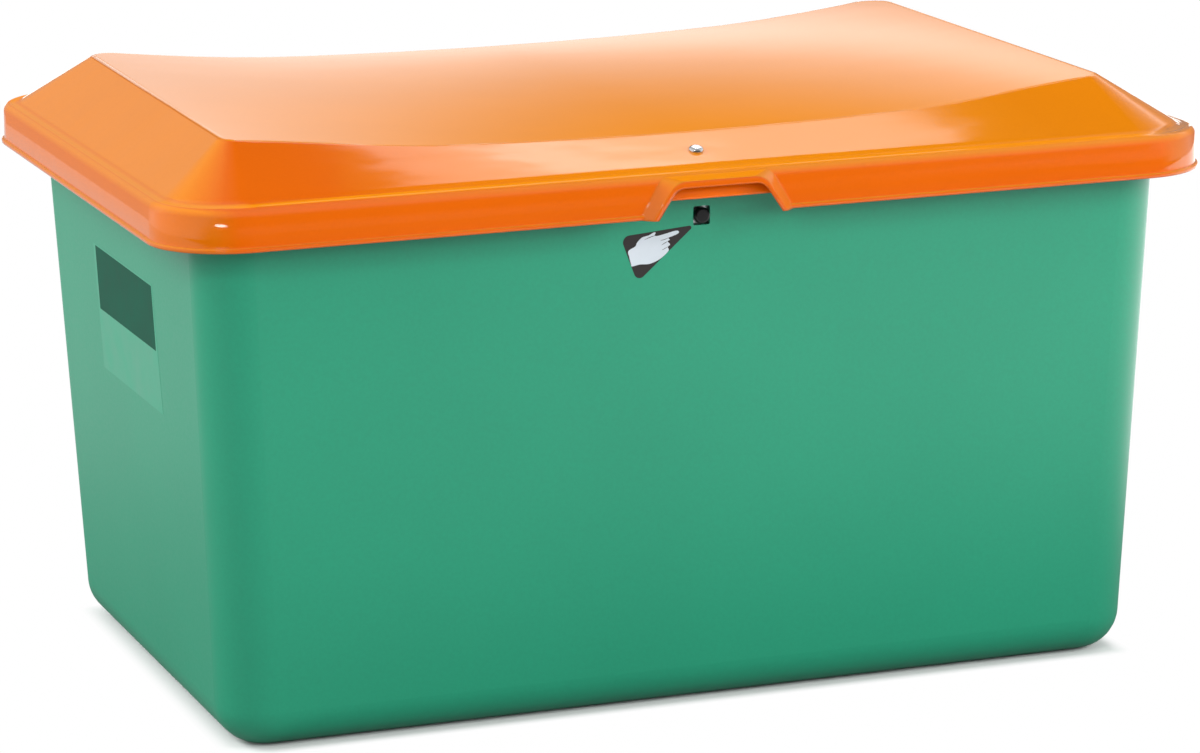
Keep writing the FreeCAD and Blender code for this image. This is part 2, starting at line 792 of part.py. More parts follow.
def add_hood(lid):
    """The grip hood, a block that stands out from the skirt and is hollowed later."""
    front = arch_outline(
        lid, "hood_front", HOOD_FRONT, "hood_half_bottom", "hood_half_top", RIM, HOOD_TOP, "hood_rounding"
    )
    root = arch_outline(
        lid,
        "hood_root_outline",
        HOOD_ROOT,
        "hood_root_half_bottom",
        "hood_root_half_top",
        RIM,
        f"({SHOULDER} - hood_root_drop)",
        "hood_root_rounding",
    )
    loft(lid, "AdditiveLoft", front, root)


def build_hood_core():
    """The hand's space inside the hood, open below and in front."""
    core = new_body("hood_core")
    front = arch_outline(
        core,
        "grip_front",
        f"({HOOD_FRONT} - 1)",
        "grip_half_bottom",
        "grip_half_top",
        f"({RIM} - 1)",
        f"({HOOD_TOP} - grip_band)",
        "grip_rounding",
    )
    root = arch_outline(
        core,
        "grip_root",
        WEB_FRONT,
        "(hood_root_half_bottom - 2 * hood_wall)",
        "(hood_root_half_top - 2 * hood_wall)",
        f"({RIM} - 1)",
        f"({SHOULDER} - hood_wall)",
        "hood_root_rounding",
    )
    loft(core, "AdditiveLoft", front, root)
    return core


def build_lid_core():
    """The space under the lid, with a slot left at the front for the web behind the hood."""
    core = new_body("lid_core")
    high = skirt_outline(core, "inside_high", "tub_height", "skirt_wall")
    low = skirt_outline(core, "inside_low", f"({RIM} - 1)", "skirt_wall")
    loft(core, "AdditiveLoft", high, low)
    hipped_roof(core, "inside", "roof_wall")
    fillet(core, "inside_shoulder", "shoulder_radius - skirt_wall", ledge_edges("tub_height"))
    fillet(core, "inside_foot", "foot_radius_inside", foot_edges("tub_height"))
    fillet(core, "inside_top", "top_edge_radius - roof_wall", top_edges("roof_wall"))
    web = Outline(core, "web_slot", "XZ_Plane", f"-({HOOD_ROOT})")
    bottom = f"({RIM} + web_lift)"
    share = "(web_lift / (skirt_tall - hood_root_drop))"
    half_bottom = f"(hood_root_half_bottom - {share} * (hood_root_half_bottom - hood_root_half_top))"
    corners = [
        (f"-{half_bottom}", bottom),
        (half_bottom, bottom),
        ("hood_root_half_top", SHOULDER),
        ("-hood_root_half_top", SHOULDER),
    ]
    web.polygon(corners)
    cut(core, web, "2 * hood_root", reverse=True)
    return core


def build_bolt_drill(label):
    """The bore for the catch's bolt, square to the front slope."""
    drill = new_body(label)
    bore = Outline(drill, f"{label}_outline").circle("0", "0", "bolt_bore")
    pad(drill, bore, "4 * roof_wall", both=True)
    place(drill, y=BOLT_Y, z=BOLT_Z, tilt=ROOF_TILT)
    return drill


def build_lid():
    lid = new_body("lid")
    high = skirt_outline(lid, "skirt_high", SHOULDER, "0")
    low = skirt_outline(lid, "skirt_low", RIM, "0")
    loft(lid, "AdditiveLoft", high, low)
    hipped_roof(lid, "roof", "0")
    fillet(lid, "shoulder_round", "shoulder_radius", ledge_edges(SHOULDER))
    fillet(lid, "foot_round", "foot_radius", foot_edges(SHOULDER))
    fillet(lid, "top_round", "top_edge_radius", top_edges("0"))
    bead = Outline(lid, "bead", offset=RIM)
    bead.rounded_rectangle("rim_length / 2", "rim_width / 2", "rim_corner_radius")
    pad(lid, bead, "bead_tall")
    fillet(lid, "bead_round_low", "bead_rounding", outer_rim_edges(RIM))
    fillet(lid, "bead_round_high", "bead_rounding", outer_rim_edges(f"{RIM} + bead_tall"))
    add_hood(lid)
    hollow_out(lid, build_lid_core(), build_hood_core(), build_bolt_drill("lid_drill"))
    wall_holes(lid, DRAFT, "(-hinge_standoff - skirt_wall / 2)", LID_BOLTS)
    return lid


# Picking edges on small pieces


def along_x_at(*places):
    """Picks the edges that run along X through any of the places (y, z)."""
    spots = [(size(y), size(z)) for y, z in places]

    def keep(edge):
        box = edge.BoundBox
        straight = box.YLength < 0.05 and box.ZLength < 0.05
        return straight and any(abs(box.YMin - y) < 0.05 and abs(box.ZMin - z) < 0.05 for y, z in spots)

    return keep


def plate_corners(half_width, thickness):
    """Picks a flat plate's four corner edges, which run along Y through its thickness."""
    reach = size(half_width)
    depth = size(thickness)

    def keep(edge):
        box = edge.BoundBox
        through = abs(box.YLength - depth) < 0.05 and box.XLength < 0.05 and box.ZLength < 0.05
        return through and abs(abs(box.XMin) - reach) < 0.05

    return keep


# Fasteners, each built standing on its own origin with the head or the joint face at z = 0


def build_bolt(label, head, head_tall, diameter, length):
    bolt = new_body(label)
    shank = Outline(bolt, f"{label}_shank").circle("0", "0", diameter)
    pad(bolt, shank, length, reverse=True)
    cap = Outline(bolt, f"{label}_head").circle("0", "0", head)
    pad(bolt, cap, head_tall)
    fillet(bolt, f"{label}_dome", f"dome_share * {head_tall}", at_height(head_tall))
    return bolt


def build_nut(label, width, tall, bore):
    nut = new_body(label)
    reach = f"({width} / 2 / cos(30 deg))"
    corners = [(f"{reach} * cos({turn} deg)", f"{reach} * sin({turn} deg)") for turn in range(0, 360, 60)]
    outline = Outline(nut, f"{label}_outline").polygon(corners)
    outline.circle("0", "0", f"{bore} + 2 * slide_clearance")
    pad(nut, outline, tall, reverse=True)
    return nut


def gather(label, bodies):
    """Like fasteners that share one node."""
    group = doc.addObject("Part::Compound", label)
    group.Label = label
    group.Links = bodies
    doc.recompute()
    return group


# The spring catch: a stirrup bolted under the lid's front slope holds a sprung push button

STIRRUP_TOP = "(roof_wall * cos(atan(ROOF)))".replace("ROOF", ROOF_SLOPE)
CATCH_STACK = f"({STIRRUP_TOP} + stirrup_sheet)"
STIRRUP_REAR = "(stirrup_depth - stirrup_front)"
COLLAR_FRONT = "(stirrup_sheet + seat_clearance - stirrup_front)"
COLLAR_BACK = f"({COLLAR_FRONT} + button_collar_thickness)"
REAR_LEG_FRONT = f"({STIRRUP_REAR} - stirrup_sheet)"
BUTTON_TIP = f"({HOLE_Y} - button_proud)"
STEM_END = f"({STIRRUP_REAR} + button_stem_tail)"
CLIP_FRONT = f"({STIRRUP_REAR} + seat_clearance)"


def along_slope_normal(depth):
    """The place on the bolt's axis that lies depth below the front slope's outer face."""
    return {
        "y": f"({BOLT_Y} + {depth} * sin({ROOF_TILT}))",
        "z": f"({BOLT_Z} - {depth} * cos({ROOF_TILT}))",
        "tilt": ROOF_TILT,
    }


def build_catch_bolt():
    length = f"({CATCH_STACK} + catch_washer_thickness + catch_nut_tall + bolt_tail)"
    bolt = build_bolt("dome_bolt", "bolt_head_diameter", "bolt_head_tall", "bolt_diameter", length)
    place(bolt, **along_slope_normal("0"))

    washer = new_body("catch_washer")
    ring = Outline(washer, "washer_outline").circle("0", "0", "catch_washer_diameter")
    ring.circle("0", "0", "bolt_bore")
    pad(washer, ring, "catch_washer_thickness", reverse=True)
    place(washer, **along_slope_normal(CATCH_STACK))

    nut = build_nut("catch_nut", "catch_nut_width", "catch_nut_tall", "bolt_diameter")
    place(nut, **along_slope_normal(f"({CATCH_STACK} + catch_washer_thickness)"))
    return [bolt, washer, nut]


def build_stirrup():
    stirrup = new_body("catch_stirrup")
    front = "(-stirrup_front)"
    rear = STIRRUP_REAR
    bottom = f"({HOLE_Z} - stirrup_below_axis)"
    sheet_drop = f"(stirrup_sheet / cos({ROOF_TILT}))"

    def under_roof(y, drop="0"):
        return f"({roof_outside(y)} - roof_wall - {drop})"

    inner_front = f"({front} + stirrup_sheet)"
    inner_rear = f"({rear} - stirrup_sheet)"
    outer_corners = [(front, under_roof(front)), (rear, under_roof(rear))]
    inner_corners = [
        (inner_rear, under_roof(inner_rear, sheet_drop)),
        (inner_front, under_roof(inner_front, sheet_drop)),
    ]
    profile = Outline(stirrup, "stirrup_profile", "YZ_Plane")
    profile.polygon(
        [(front, bottom), *outer_corners, (rear, bottom), (inner_rear, bottom)]
        + [*inner_corners, (inner_front, bottom)]
    )
    pad(stirrup, profile, "stirrup_width", both=True)
    fillet(stirrup, "stirrup_outer_bends", "stirrup_bend + stirrup_sheet", along_x_at(*outer_corners))
    fillet(stirrup, "stirrup_inner_bends", "stirrup_bend", along_x_at(*inner_corners))

    window = Outline(stirrup, "button_window", "XZ_Plane", "stirrup_front - stirrup_sheet / 2")
    window.circle("0", HOLE_Z, "button_diameter + 2 * slide_clearance")
    cut(stirrup, window, "3 * stirrup_sheet", both=True)
    bore = Outline(stirrup, "stem_window", "XZ_Plane", f"-{REAR_LEG_FRONT}")
    bore.circle("0", HOLE_Z, "button_stem_diameter + 2 * slide_clearance")
    cut(stirrup, bore, "3 * stirrup_sheet", both=True)
    hollow_out(stirrup, build_bolt_drill("stirrup_drill"))
    return stirrup


def turned(label, steps):
    """A piece turned about its own Z axis from (radius, z) steps."""
    body = new_body(label)
    profile = Outline(body, f"{label}_profile", "XZ_Plane").polygon(steps)
    revolve(body, profile, "Z_Axis")
    return body


def facing_front(body, y):
    """Lays a body down with its own Z axis towards the front, its origin at depth y on the button's axis."""
    place(body, y=y, z=HOLE_Z, tilt="90 deg")
    return body


def build_button():
    button_radius = "button_diameter / 2"
    collar_radius = "button_collar_diameter / 2"
    stem_radius = "button_stem_diameter / 2"
    groove_radius = "(button_stem_diameter / 2 - clip_groove_depth)"
    tip = f"({COLLAR_FRONT} - {BUTTON_TIP})"
    collar_back = "(-button_collar_thickness)"
    groove_front = f"({COLLAR_FRONT} - {CLIP_FRONT} + slide_clearance)"
    groove_back = f"({COLLAR_FRONT} - {CLIP_FRONT} - clip_thickness - slide_clearance)"
    end = f"({COLLAR_FRONT} - {STEM_END})"
    steps = [
        ("0", end),
        (stem_radius, end),
        (stem_radius, groove_back),
        (groove_radius, groove_back),
        (groove_radius, groove_front),
        (stem_radius, groove_front),
        (stem_radius, collar_back),
        (collar_radius, collar_back),
        (collar_radius, "0"),
        (button_radius, "0"),
        (button_radius, tip),
        ("0", tip),
    ]
    button = turned("push_button", steps)
    fillet(button, "button_rim", "button_rounding", at_height(tip))
    facing_front(button, COLLAR_FRONT)
    return button


def build_stem_clip():
    clip = new_body("stem_clip")
    ring = Outline(clip, "clip_outline").circle("0", "0", "clip_diameter")
    ring.circle("0", "0", "button_stem_diameter - 2 * clip_groove_depth + 2 * slide_clearance")
    pad(clip, ring, "clip_thickness", reverse=True)
    gap = Outline(clip, "clip_mouth")
    half = "clip_gap / 2"
    gap.polygon([(f"-{half}", "0"), (half, "0"), (half, "-clip_diameter"), (f"-{half}", "-clip_diameter")])
    cut(clip, gap, "clip_thickness")
    facing_front(clip, CLIP_FRONT)
    return clip


def build_spring():
    spring = new_body("catch_spring")
    wire = Outline(spring, "spring_wire_outline", "XZ_Plane")
    outside = "spring_diameter / 2"
    inside = "spring_diameter / 2 - spring_wire"
    corners = [(inside, "0"), (outside, "0"), (outside, "spring_wire"), (inside, "spring_wire")]
    wire.polygon(corners)
    length = f"({REAR_LEG_FRONT} - {COLLAR_BACK} - 2 * seat_clearance - spring_wire)"
    coil = spring.newObject("PartDesign::AdditiveHelix", "spring_coil")
    coil.Profile = wire.sketch
    coil.ReferenceAxis = (origin_plane(spring, "Z_Axis"), [""])
    coil.Mode = "height-turns-angle"
    coil.setExpression("Height", bound(length))
    coil.setExpression("Turns", bound("spring_turns"))
    doc.recompute()
    facing_front(spring, f"({REAR_LEG_FRONT} - seat_clearance)")
    return spring


# The hinges: a strap from the rear wall carries a pin, and a leaf on the skirt turns about it

WALL_THICKNESS = f"(tub_wall * cos({LEAF_TILT}))"
SKIRT_THICKNESS = f"(skirt_wall * cos({DRAFT}))"
CENTRE_HALF = "(knuckle_width / 2 - knuckle_gap)"
CLEAR_RADIUS = "(knuckle_diameter / 2 + knuckle_relief)"


def block_outline(body, name, x_low, x_high, z_low, z_high, plane="XZ_Plane", offset="0"):
    outline = Outline(body, name, plane, offset)
    return outline.polygon([(x_low, z_low), (x_high, z_low), (x_high, z_high), (x_low, z_high)])


def build_tub_leaf(label, middle):
    leaf = new_body(label)
    wall = f"(-{REAR_WALL})"
    wall_front = f"(tub_leaf_sheet - {REAR_WALL})"
    bottom = "(-tub_leaf_bottom)"
    shelf_low = "(-tub_leaf_reach)"
    shelf_high = "(tub_leaf_sheet - tub_leaf_reach)"
    riser_front = "(knuckle_diameter / 2)"
    riser_back = "(knuckle_diameter / 2 - tub_leaf_sheet)"
    profile = Outline(leaf, f"{label}_profile", "YZ_Plane")
    profile.polygon(
        [
            (wall, bottom),
            (wall_front, bottom),
            (wall_front, shelf_low),
            (riser_front, shelf_low),
            (riser_front, "0"),
            (riser_back, "0"),
            (riser_back, shelf_high),
            (wall, shelf_high),
        ]
    )
    pad(leaf, profile, "hinge_width", both=True)
    outer = along_x_at((wall, shelf_high), (riser_front, shelf_low))
    inner = along_x_at((wall_front, shelf_low), (riser_back, shelf_high))
    fillet(leaf, f"{label}_outer_bends", "tub_leaf_bend + tub_leaf_sheet", outer)
    fillet(leaf, f"{label}_inner_bends", "tub_leaf_bend", inner)
    for side in (-1, 1):
        near, far = f"{side} * {CENTRE_HALF}", f"{side} * hinge_width"
        notch = block_outline(leaf, f"{label}_notch", near, far, f"-{CLEAR_RADIUS}", "knuckle_diameter")
        cut(leaf, notch, "4 * knuckle_diameter", both=True)
    knuckle = Outline(leaf, f"{label}_knuckle", "YZ_Plane").circle("0", "0", "knuckle_diameter")
    pad(leaf, knuckle, f"2 * {CENTRE_HALF}", both=True)
    bore_for_pin(leaf)
    holes = Outline(leaf, f"{label}_holes", "XZ_Plane", REAR_WALL)
    bolt_holes(holes, TUB_BOLTS)
    cut(leaf, holes, "3 * tub_leaf_sheet", both=True)
    place(leaf, x=middle, y=HINGE_Y, z=HINGE_Z, tilt=LEAF_TILT)
    return leaf


def bolt_holes(outline, bolts):
    """The pair of bolt holes of one leaf or plate."""
    for side in (-1, 1):
        across = f"{side} * {bolts['spacing']} / 2"
        outline.circle(across, bolts["height"], f"{bolts['diameter']} + 2 * bolt_hole_clearance")


def bore_for_pin(leaf):
    bore = Outline(leaf, f"{leaf.Label}_bore", "YZ_Plane")
    bore.circle("0", "0", "pin_diameter + 2 * pin_clearance")
    cut(leaf, bore, "2 * hinge_width", both=True)


def build_lid_leaf(label, middle):
    leaf = new_body(label)
    plate = block_outline(
        leaf,
        f"{label}_plate",
        "-hinge_width / 2",
        "hinge_width / 2",
        "0",
        "lid_leaf_tall",
        offset="hinge_standoff - lid_leaf_sheet",
    )
    pad(leaf, plate, "lid_leaf_sheet")
    knuckle = Outline(leaf, f"{label}_knuckle", "YZ_Plane").circle("0", "0", "knuckle_diameter")
    pad(leaf, knuckle, "hinge_width", both=True)
    half_gap = "(knuckle_width / 2 + knuckle_gap)"
    middle_notch = block_outline(
        leaf, f"{label}_notch", f"-{half_gap}", half_gap, f"-{CLEAR_RADIUS}", CLEAR_RADIUS
    )
    cut(leaf, middle_notch, "4 * knuckle_diameter", both=True)
    bore_for_pin(leaf)
    holes = Outline(leaf, f"{label}_holes", "XZ_Plane", "hinge_standoff")
    bolt_holes(holes, LID_BOLTS)
    cut(leaf, holes, "3 * lid_leaf_sheet", both=True)
    place(leaf, x=middle, y=HINGE_Y, z=HINGE_Z, tilt=DRAFT)
    return leaf


def build_pin(label, middle, side):
    """A hinge pin with its head towards the bin's end and its tail towards the middle."""
    pin = new_body(label)
    start = f"({side} * (hinge_width / 2 + knuckle_gap))"
    shank = Outline(pin, f"{label}_shank", "YZ_Plane", start).circle("0", "0", "pin_diameter")
    pad(pin, shank, "hinge_width + 2 * knuckle_gap + pin_tail", reverse=side > 0)
    head = Outline(pin, f"{label}_head", "YZ_Plane", start).circle("0", "0", "pin_head_diameter")
    pad(pin, head, "pin_head_thickness", reverse=side < 0)
    place(pin, x=middle, y=HINGE_Y, z=HINGE_Z)
    return pin


def build_pin_clip(label, middle, side):
    """A push-on disc on the pin's tail."""
    clip = new_body(label)
    start = f"(-{side} * (hinge_width / 2 + 2 * knuckle_gap))"
    disc = Outline(clip, f"{label}_disc", "YZ_Plane", start).circle("0", "0", "pin_head_diameter")
    disc.circle("0", "0", "pin_diameter + 2 * pin_clearance")
    pad(clip, disc, "clip_thickness", reverse=side > 0)
    place(clip, x=middle, y=HINGE_Y, z=HINGE_Z)
    return clip


def build_plate(label, middle, tilt, face, prefix, bolts):
    """A backing plate inside the wall, its face at depth face in the hinge's own frame."""
    plate = new_body(label)
    half = "hinge_width / 2"
    height = bolts["height"]
    tall = f"{prefix}_plate_tall"
    thickness = f"{prefix}_plate_thickness"
    low = f"({height} - {tall} / 2)"
    high = f"({height} + {tall} / 2)"
    outline = block_outline(plate, f"{label}_outline", f"-{half}", half, low, high, offset=face)
    bolt_holes(outline, bolts)
    pad(plate, outline, thickness)
    fillet(plate, f"{label}_corners", "plate_corner", plate_corners(half, thickness))
    place(plate, x=middle, y=HINGE_Y, z=HINGE_Z, tilt=tilt)
    return plate


def build_hinge_fasteners(prefix, tilt, face, stack, sizes):
    """Both hinges' bolts and nuts for one leaf, two of each to a hinge."""
    bolts = []
    nuts = []
    length = f"({stack} + {sizes['nut_tall']} + bolt_end)"
    for middle in (HINGE_LEFT, HINGE_RIGHT):
        for side in (-1, 1):
            number = len(bolts) + 1
            bolt = build_bolt(
                f"{prefix}_bolt_{number}", sizes["head"], sizes["head_tall"], sizes["diameter"], length
            )
            place_beside(bolt, middle, tilt, side, sizes, face)
            nut = build_nut(
                f"{prefix}_nut_{number}", sizes["nut_width"], sizes["nut_tall"], sizes["diameter"]
            )
            place_beside(nut, middle, tilt, side, sizes, f"({face} - {stack})")
            bolts.append(bolt)
            nuts.append(nut)
    doc.recompute()
    return [gather(f"{prefix}_bolts", bolts), gather(f"{prefix}_nuts", nuts)]


def build_hinges():
    """Both hinges with their backing plates, bolts and nuts."""
    pieces = []
    clips = []
    tub_plate_face = f"({REAR_WALL} + {WALL_THICKNESS})"
    lid_plate_face = f"(hinge_standoff + {SKIRT_THICKNESS})"
    for word, side, middle in (("left", -1, HINGE_LEFT), ("right", 1, HINGE_RIGHT)):
        pieces.append(build_tub_leaf(f"tub_leaf_{word}", middle))
        pieces.append(build_lid_leaf(f"lid_leaf_{word}", middle))
        pieces.append(build_pin(f"hinge_pin_{word}", middle, side))
        clips.append(build_pin_clip(f"pin_clip_{word}", middle, side))
        pieces.append(build_plate(f"tub_plate_{word}", middle, LEAF_TILT, tub_plate_face, "tub", TUB_BOLTS))
        pieces.append(build_plate(f"lid_plate_{word}", middle, DRAFT, lid_plate_face, "lid", LID_BOLTS))
    pieces.append(gather("pin_clips", clips))
    tub_face = f"(tub_leaf_sheet - {REAR_WALL})"
    tub_stack = f"(tub_leaf_sheet + {WALL_THICKNESS} + tub_plate_thickness)"
    pieces += build_hinge_fasteners("tub_leaf", LEAF_TILT, tub_face, tub_stack, TUB_BOLTS)
    lid_face = "(lid_leaf_sheet - hinge_standoff)"
    lid_stack = f"(lid_leaf_sheet + {SKIRT_THICKNESS} + lid_plate_thickness)"
    pieces += build_hinge_fasteners("lid_leaf", DRAFT, lid_face, lid_stack, LID_BOLTS)
    return pieces


# Building, checking and writing the pieces


def write_pieces(pieces):
    doc.recompute()
    for item in doc.Objects:
        if "Invalid" in item.State or "Error" in item.State:
            raise ValueError(f"{item.Label} is not sound: {item.State}")
    os.makedirs("parts", exist_ok=True)
    for piece in pieces:
        shape = piece.Shape
        if shape.isNull() or not shape.isValid() or not shape.Solids:
            raise ValueError(f"{piece.Label} has no valid solid")
        shape.exportStep(f"parts/{piece.Label}.step")


nodes = [build_tub(), build_lid(), build_stirrup(), *build_catch_bolt()]
nodes += [build_button(), build_stem_clip(), build_spring(), *build_hinges()]
write_pieces(nodes)
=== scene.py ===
# %% [markdown]
# # A roadside grit bin
# The bin is a tapered green tub of glass-fibre plastic with a glossy orange lid that hinges at the
# back. Its measured solids come ready made from the construction model. This script dresses them:
# it lights them, gives each its finish, winds the catch's spring and lays two printed films on the
# tub. Lengths are in metres. X runs to the right, Y to the back and Z up.

# %% Load the measured model
import math

import bmesh
import bpy
from mathutils import Matrix, Vector


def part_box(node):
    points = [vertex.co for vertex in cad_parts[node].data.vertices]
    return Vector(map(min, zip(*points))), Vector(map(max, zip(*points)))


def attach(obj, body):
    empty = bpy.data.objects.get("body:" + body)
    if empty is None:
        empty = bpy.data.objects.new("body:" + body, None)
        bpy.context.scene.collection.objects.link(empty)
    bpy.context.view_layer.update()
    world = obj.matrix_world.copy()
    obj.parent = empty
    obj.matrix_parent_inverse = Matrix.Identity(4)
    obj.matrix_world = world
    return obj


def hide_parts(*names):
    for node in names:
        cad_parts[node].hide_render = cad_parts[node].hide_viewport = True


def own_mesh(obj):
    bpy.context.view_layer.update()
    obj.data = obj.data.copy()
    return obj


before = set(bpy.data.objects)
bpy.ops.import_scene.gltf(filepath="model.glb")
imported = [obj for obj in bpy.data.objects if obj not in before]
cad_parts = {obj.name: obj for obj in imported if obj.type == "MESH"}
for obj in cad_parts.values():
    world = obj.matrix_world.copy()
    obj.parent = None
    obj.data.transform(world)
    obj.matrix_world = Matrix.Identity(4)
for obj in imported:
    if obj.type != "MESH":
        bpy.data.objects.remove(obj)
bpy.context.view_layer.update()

print("pieces from the construction model:", len(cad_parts))

# %% [markdown]
# ## The camera
# The bin is seen from the front, a little from the left and from above, through a long lens that
# keeps the tub's edges nearly parallel. A camera could be aimed by eye. This one was fitted to the
# bin's straight edges instead, because with a long lens the distance and the focal length trade
# off, and only a fit tells them apart.

# %% Camera
CAMERA_PLACE = Vector((-1.8376, -5.1416, 1.5393))
CAMERA_YAW = 0.34547
CAMERA_PITCH = 0.22342
CAMERA_ROLL = -0.01438
LENS_MM = 146.23
SENSOR_MM = 36
VIEW_END = 200

camera = bpy.data.objects.new("camera", bpy.data.cameras.new("camera"))
bpy.context.scene.collection.objects.link(camera)
camera.data.lens = LENS_MM
camera.data.sensor_width = SENSOR_MM
camera.data.clip_end = VIEW_END
turn = Matrix.Rotation(-CAMERA_YAW, 4, "Z")
tilt = Matrix.Rotation(math.pi / 2 - CAMERA_PITCH, 4, "X")
roll = Matrix.Rotation(CAMERA_ROLL, 4, "Z")
camera.matrix_world = Matrix.Translation(CAMERA_PLACE) @ turn @ tilt @ roll
bpy.context.scene.camera = camera
print("camera at", [round(v, 2) for v in CAMERA_PLACE])

# %% [markdown]
# ## Small helpers for node trees
# A material is a tree of nodes. It could be clicked together in the node editor, but written as
# calls with named inputs it can be read, repeated and changed. An input is either a plain value or
# the output of a node made before it.

# %% Helpers that add and fill nodes
NODE_SPACING = 170


def feed(tree, node, inputs):
    """Fills a node's inputs: an output of another node is linked, and a plain value is set."""
    for name, value in inputs.items():
        if isinstance(value, bpy.types.NodeSocket):
            tree.links.new(value, node.inputs[name])
        else:
            node.inputs[name].default_value = value


def add_node(tree, kind, inputs=None, **settings):
    """Adds one node to the right of the others."""
    made = tree.nodes.new(kind)
    made.location = (len(tree.nodes) * NODE_SPACING, 0)
    for name, value in settings.items():
        setattr(made, name, value)
    feed(tree, made, inputs or {})
    return made


def calculate(tree, operation, *values):
    """One step of arithmetic on numbers."""
    return add_node(tree, "ShaderNodeMath", dict(enumerate(values)), operation=operation).outputs[0]


def calculate_vector(tree, operation, *vectors):
    """One step of arithmetic on vectors. A length and a dot product come out as a number."""
    made = add_node(tree, "ShaderNodeVectorMath", dict(enumerate(vectors)), operation=operation)
    return made.outputs["Value" if operation in ("LENGTH", "DOT_PRODUCT") else "Vector"]


def split(tree, vector):
    """The X, Y and Z of a vector."""
    return tuple(add_node(tree, "ShaderNodeSeparateXYZ", {0: vector}).outputs)


print("helpers for single nodes are ready")

# %% Helpers for masks, mixtures and patterns


def stretch_range(tree, value, low, high, to_low=0.0, to_high=1.0, smooth=False):
    """Maps low..high to to_low..to_high, and holds it there outside."""
    inputs = {"Value": value, "From Min": low, "From Max": high, "To Min": to_low, "To Max": to_high}
    kind = "SMOOTHSTEP" if smooth else "LINEAR"
    return add_node(tree, "ShaderNodeMapRange", inputs, interpolation_type=kind).outputs["Result"]


def fade_out(tree, value, start, end):
    """A mask that is 1 up to the start and 0 from the end on."""
    return stretch_range(tree, value, start, end, 1.0, 0.0)


def overlap(tree, first, *others):
    """The product of masks, which is 1 only where all of them are."""
    for mask in others:
        first = calculate(tree, "MULTIPLY", first, mask)
    return first


def mix_numbers(tree, share, first, second):
    return add_node(tree, "ShaderNodeMix", {0: share, 2: first, 3: second}).outputs[0]


def mix_vectors(tree, share, first, second):
    return add_node(tree, "ShaderNodeMix", {0: share, 4: first, 5: second}, data_type="VECTOR").outputs[1]


def mix_colours(tree, share, first, second, blend="MIX"):
    inputs = {0: share, 6: first, 7: second}
    return add_node(tree, "ShaderNodeMix", inputs, data_type="RGBA", blend_type=blend).outputs[2]


def noise(tree, vector, scale, detail=2.0):
    inputs = {"Vector": vector, "Scale": scale, "Detail": detail}
    return add_node(tree, "ShaderNodeTexNoise", inputs).outputs["Fac"]


def squeeze(tree, vector, x=1.0, y=1.0, z=1.0):
    """Scales the space a pattern lives in, so that its grain runs along one axis."""
    return add_node(tree, "ShaderNodeMapping", {"Vector": vector, "Scale": (x, y, z)}).outputs["Vector"]


def clear_view(tree, path):
    """1 for what the camera sees directly or through glass, and 0 for mirrored and scattered light."""
    return calculate(tree, "MAXIMUM", path["Is Camera Ray"], path["Is Transmission Ray"])


print("helpers for masks, mixtures and patterns are ready")

# %% [markdown]
# ## Floor
# The bin stands on white paper that runs on out of the picture. Bright lamps could make the paper
# white, but they would bleach the bin too, so the paper glows by itself for the camera. It keeps
# the thin shadow under the tub's edge, and a little over two centimetres further out it is plain
# white. For that, the paper has to know how far each of its points lies from the tub's foot.

# %% Distance from the tub's foot
SIDE_FOOT = 0.530
FRONT_FOOT = 0.332
REAR_FOOT = 0.320
FOOT_ROUNDING = 0.018

paper = bpy.data.materials.new("white_paper")
paper.use_nodes = True
tree = paper.node_tree
tree.nodes.clear()
place = add_node(tree, "ShaderNodeTexCoord").outputs["Object"]
foot_half_length = SIDE_FOOT - FOOT_ROUNDING
foot_half_width = (FRONT_FOOT + REAR_FOOT) / 2 - FOOT_ROUNDING
from_middle = calculate_vector(tree, "ADD", place, (0, (FRONT_FOOT - REAR_FOOT) / 2, 0))
beyond = calculate_vector(tree, "ABSOLUTE", from_middle)
beyond = calculate_vector(tree, "SUBTRACT", beyond, (foot_half_length, foot_half_width, 1.0))
beyond = calculate_vector(tree, "MAXIMUM", beyond, (0, 0, 0))
from_foot = calculate_vector(tree, "LENGTH", beyond)
print("the tub's foot on the paper:", round(2 * foot_half_length, 3), "x", round(2 * foot_half_width, 3))

# %% [markdown]
# What the paper throws back onto the bin is kept low, as when only a small sheet lies under a
# product. Mirrors see it white from about a metre out, so the walls carry a pale haze that fades
# towards the floor, and more of it on the right. The sheet ends some way in front of the bin, and
# the skirt of the lid, which mirrors that far floor, keeps its full colour.

# %% Where the paper glows
SHADOW_GONE = 0.024
MIRROR_FROM = (0.30, 1.0)

path = add_node(tree, "ShaderNodeLightPath").outputs
seen = clear_view(tree, path)
glow_seen = overlap(tree, stretch_range(tree, from_foot, 0.0, SHADOW_GONE, smooth=True), seen)
mirror_far = stretch_range(tree, from_foot, *MIRROR_FROM, smooth=True)
glow = calculate(tree, "MAXIMUM", glow_seen, overlap(tree, mirror_far, path["Is Glossy Ray"]))
print("the shadow ends", SHADOW_GONE, "m from the foot")

# %% How bright the paper is
PAPER_WHITE = (0.93, 0.93, 0.93, 1)
BOUNCE_SHADE = (0.32, 0.32, 0.32, 1)
MIRROR_DEPTH = (-0.6, 0.4)
MIRROR_BEHIND = 0.88
MIRROR_ACROSS = (-0.6, 1.0)
MIRROR_SIDES = (0.82, 2.6)
PAPER_END = (-3.2, -2.4)
BEYOND_PAPER = 0.06

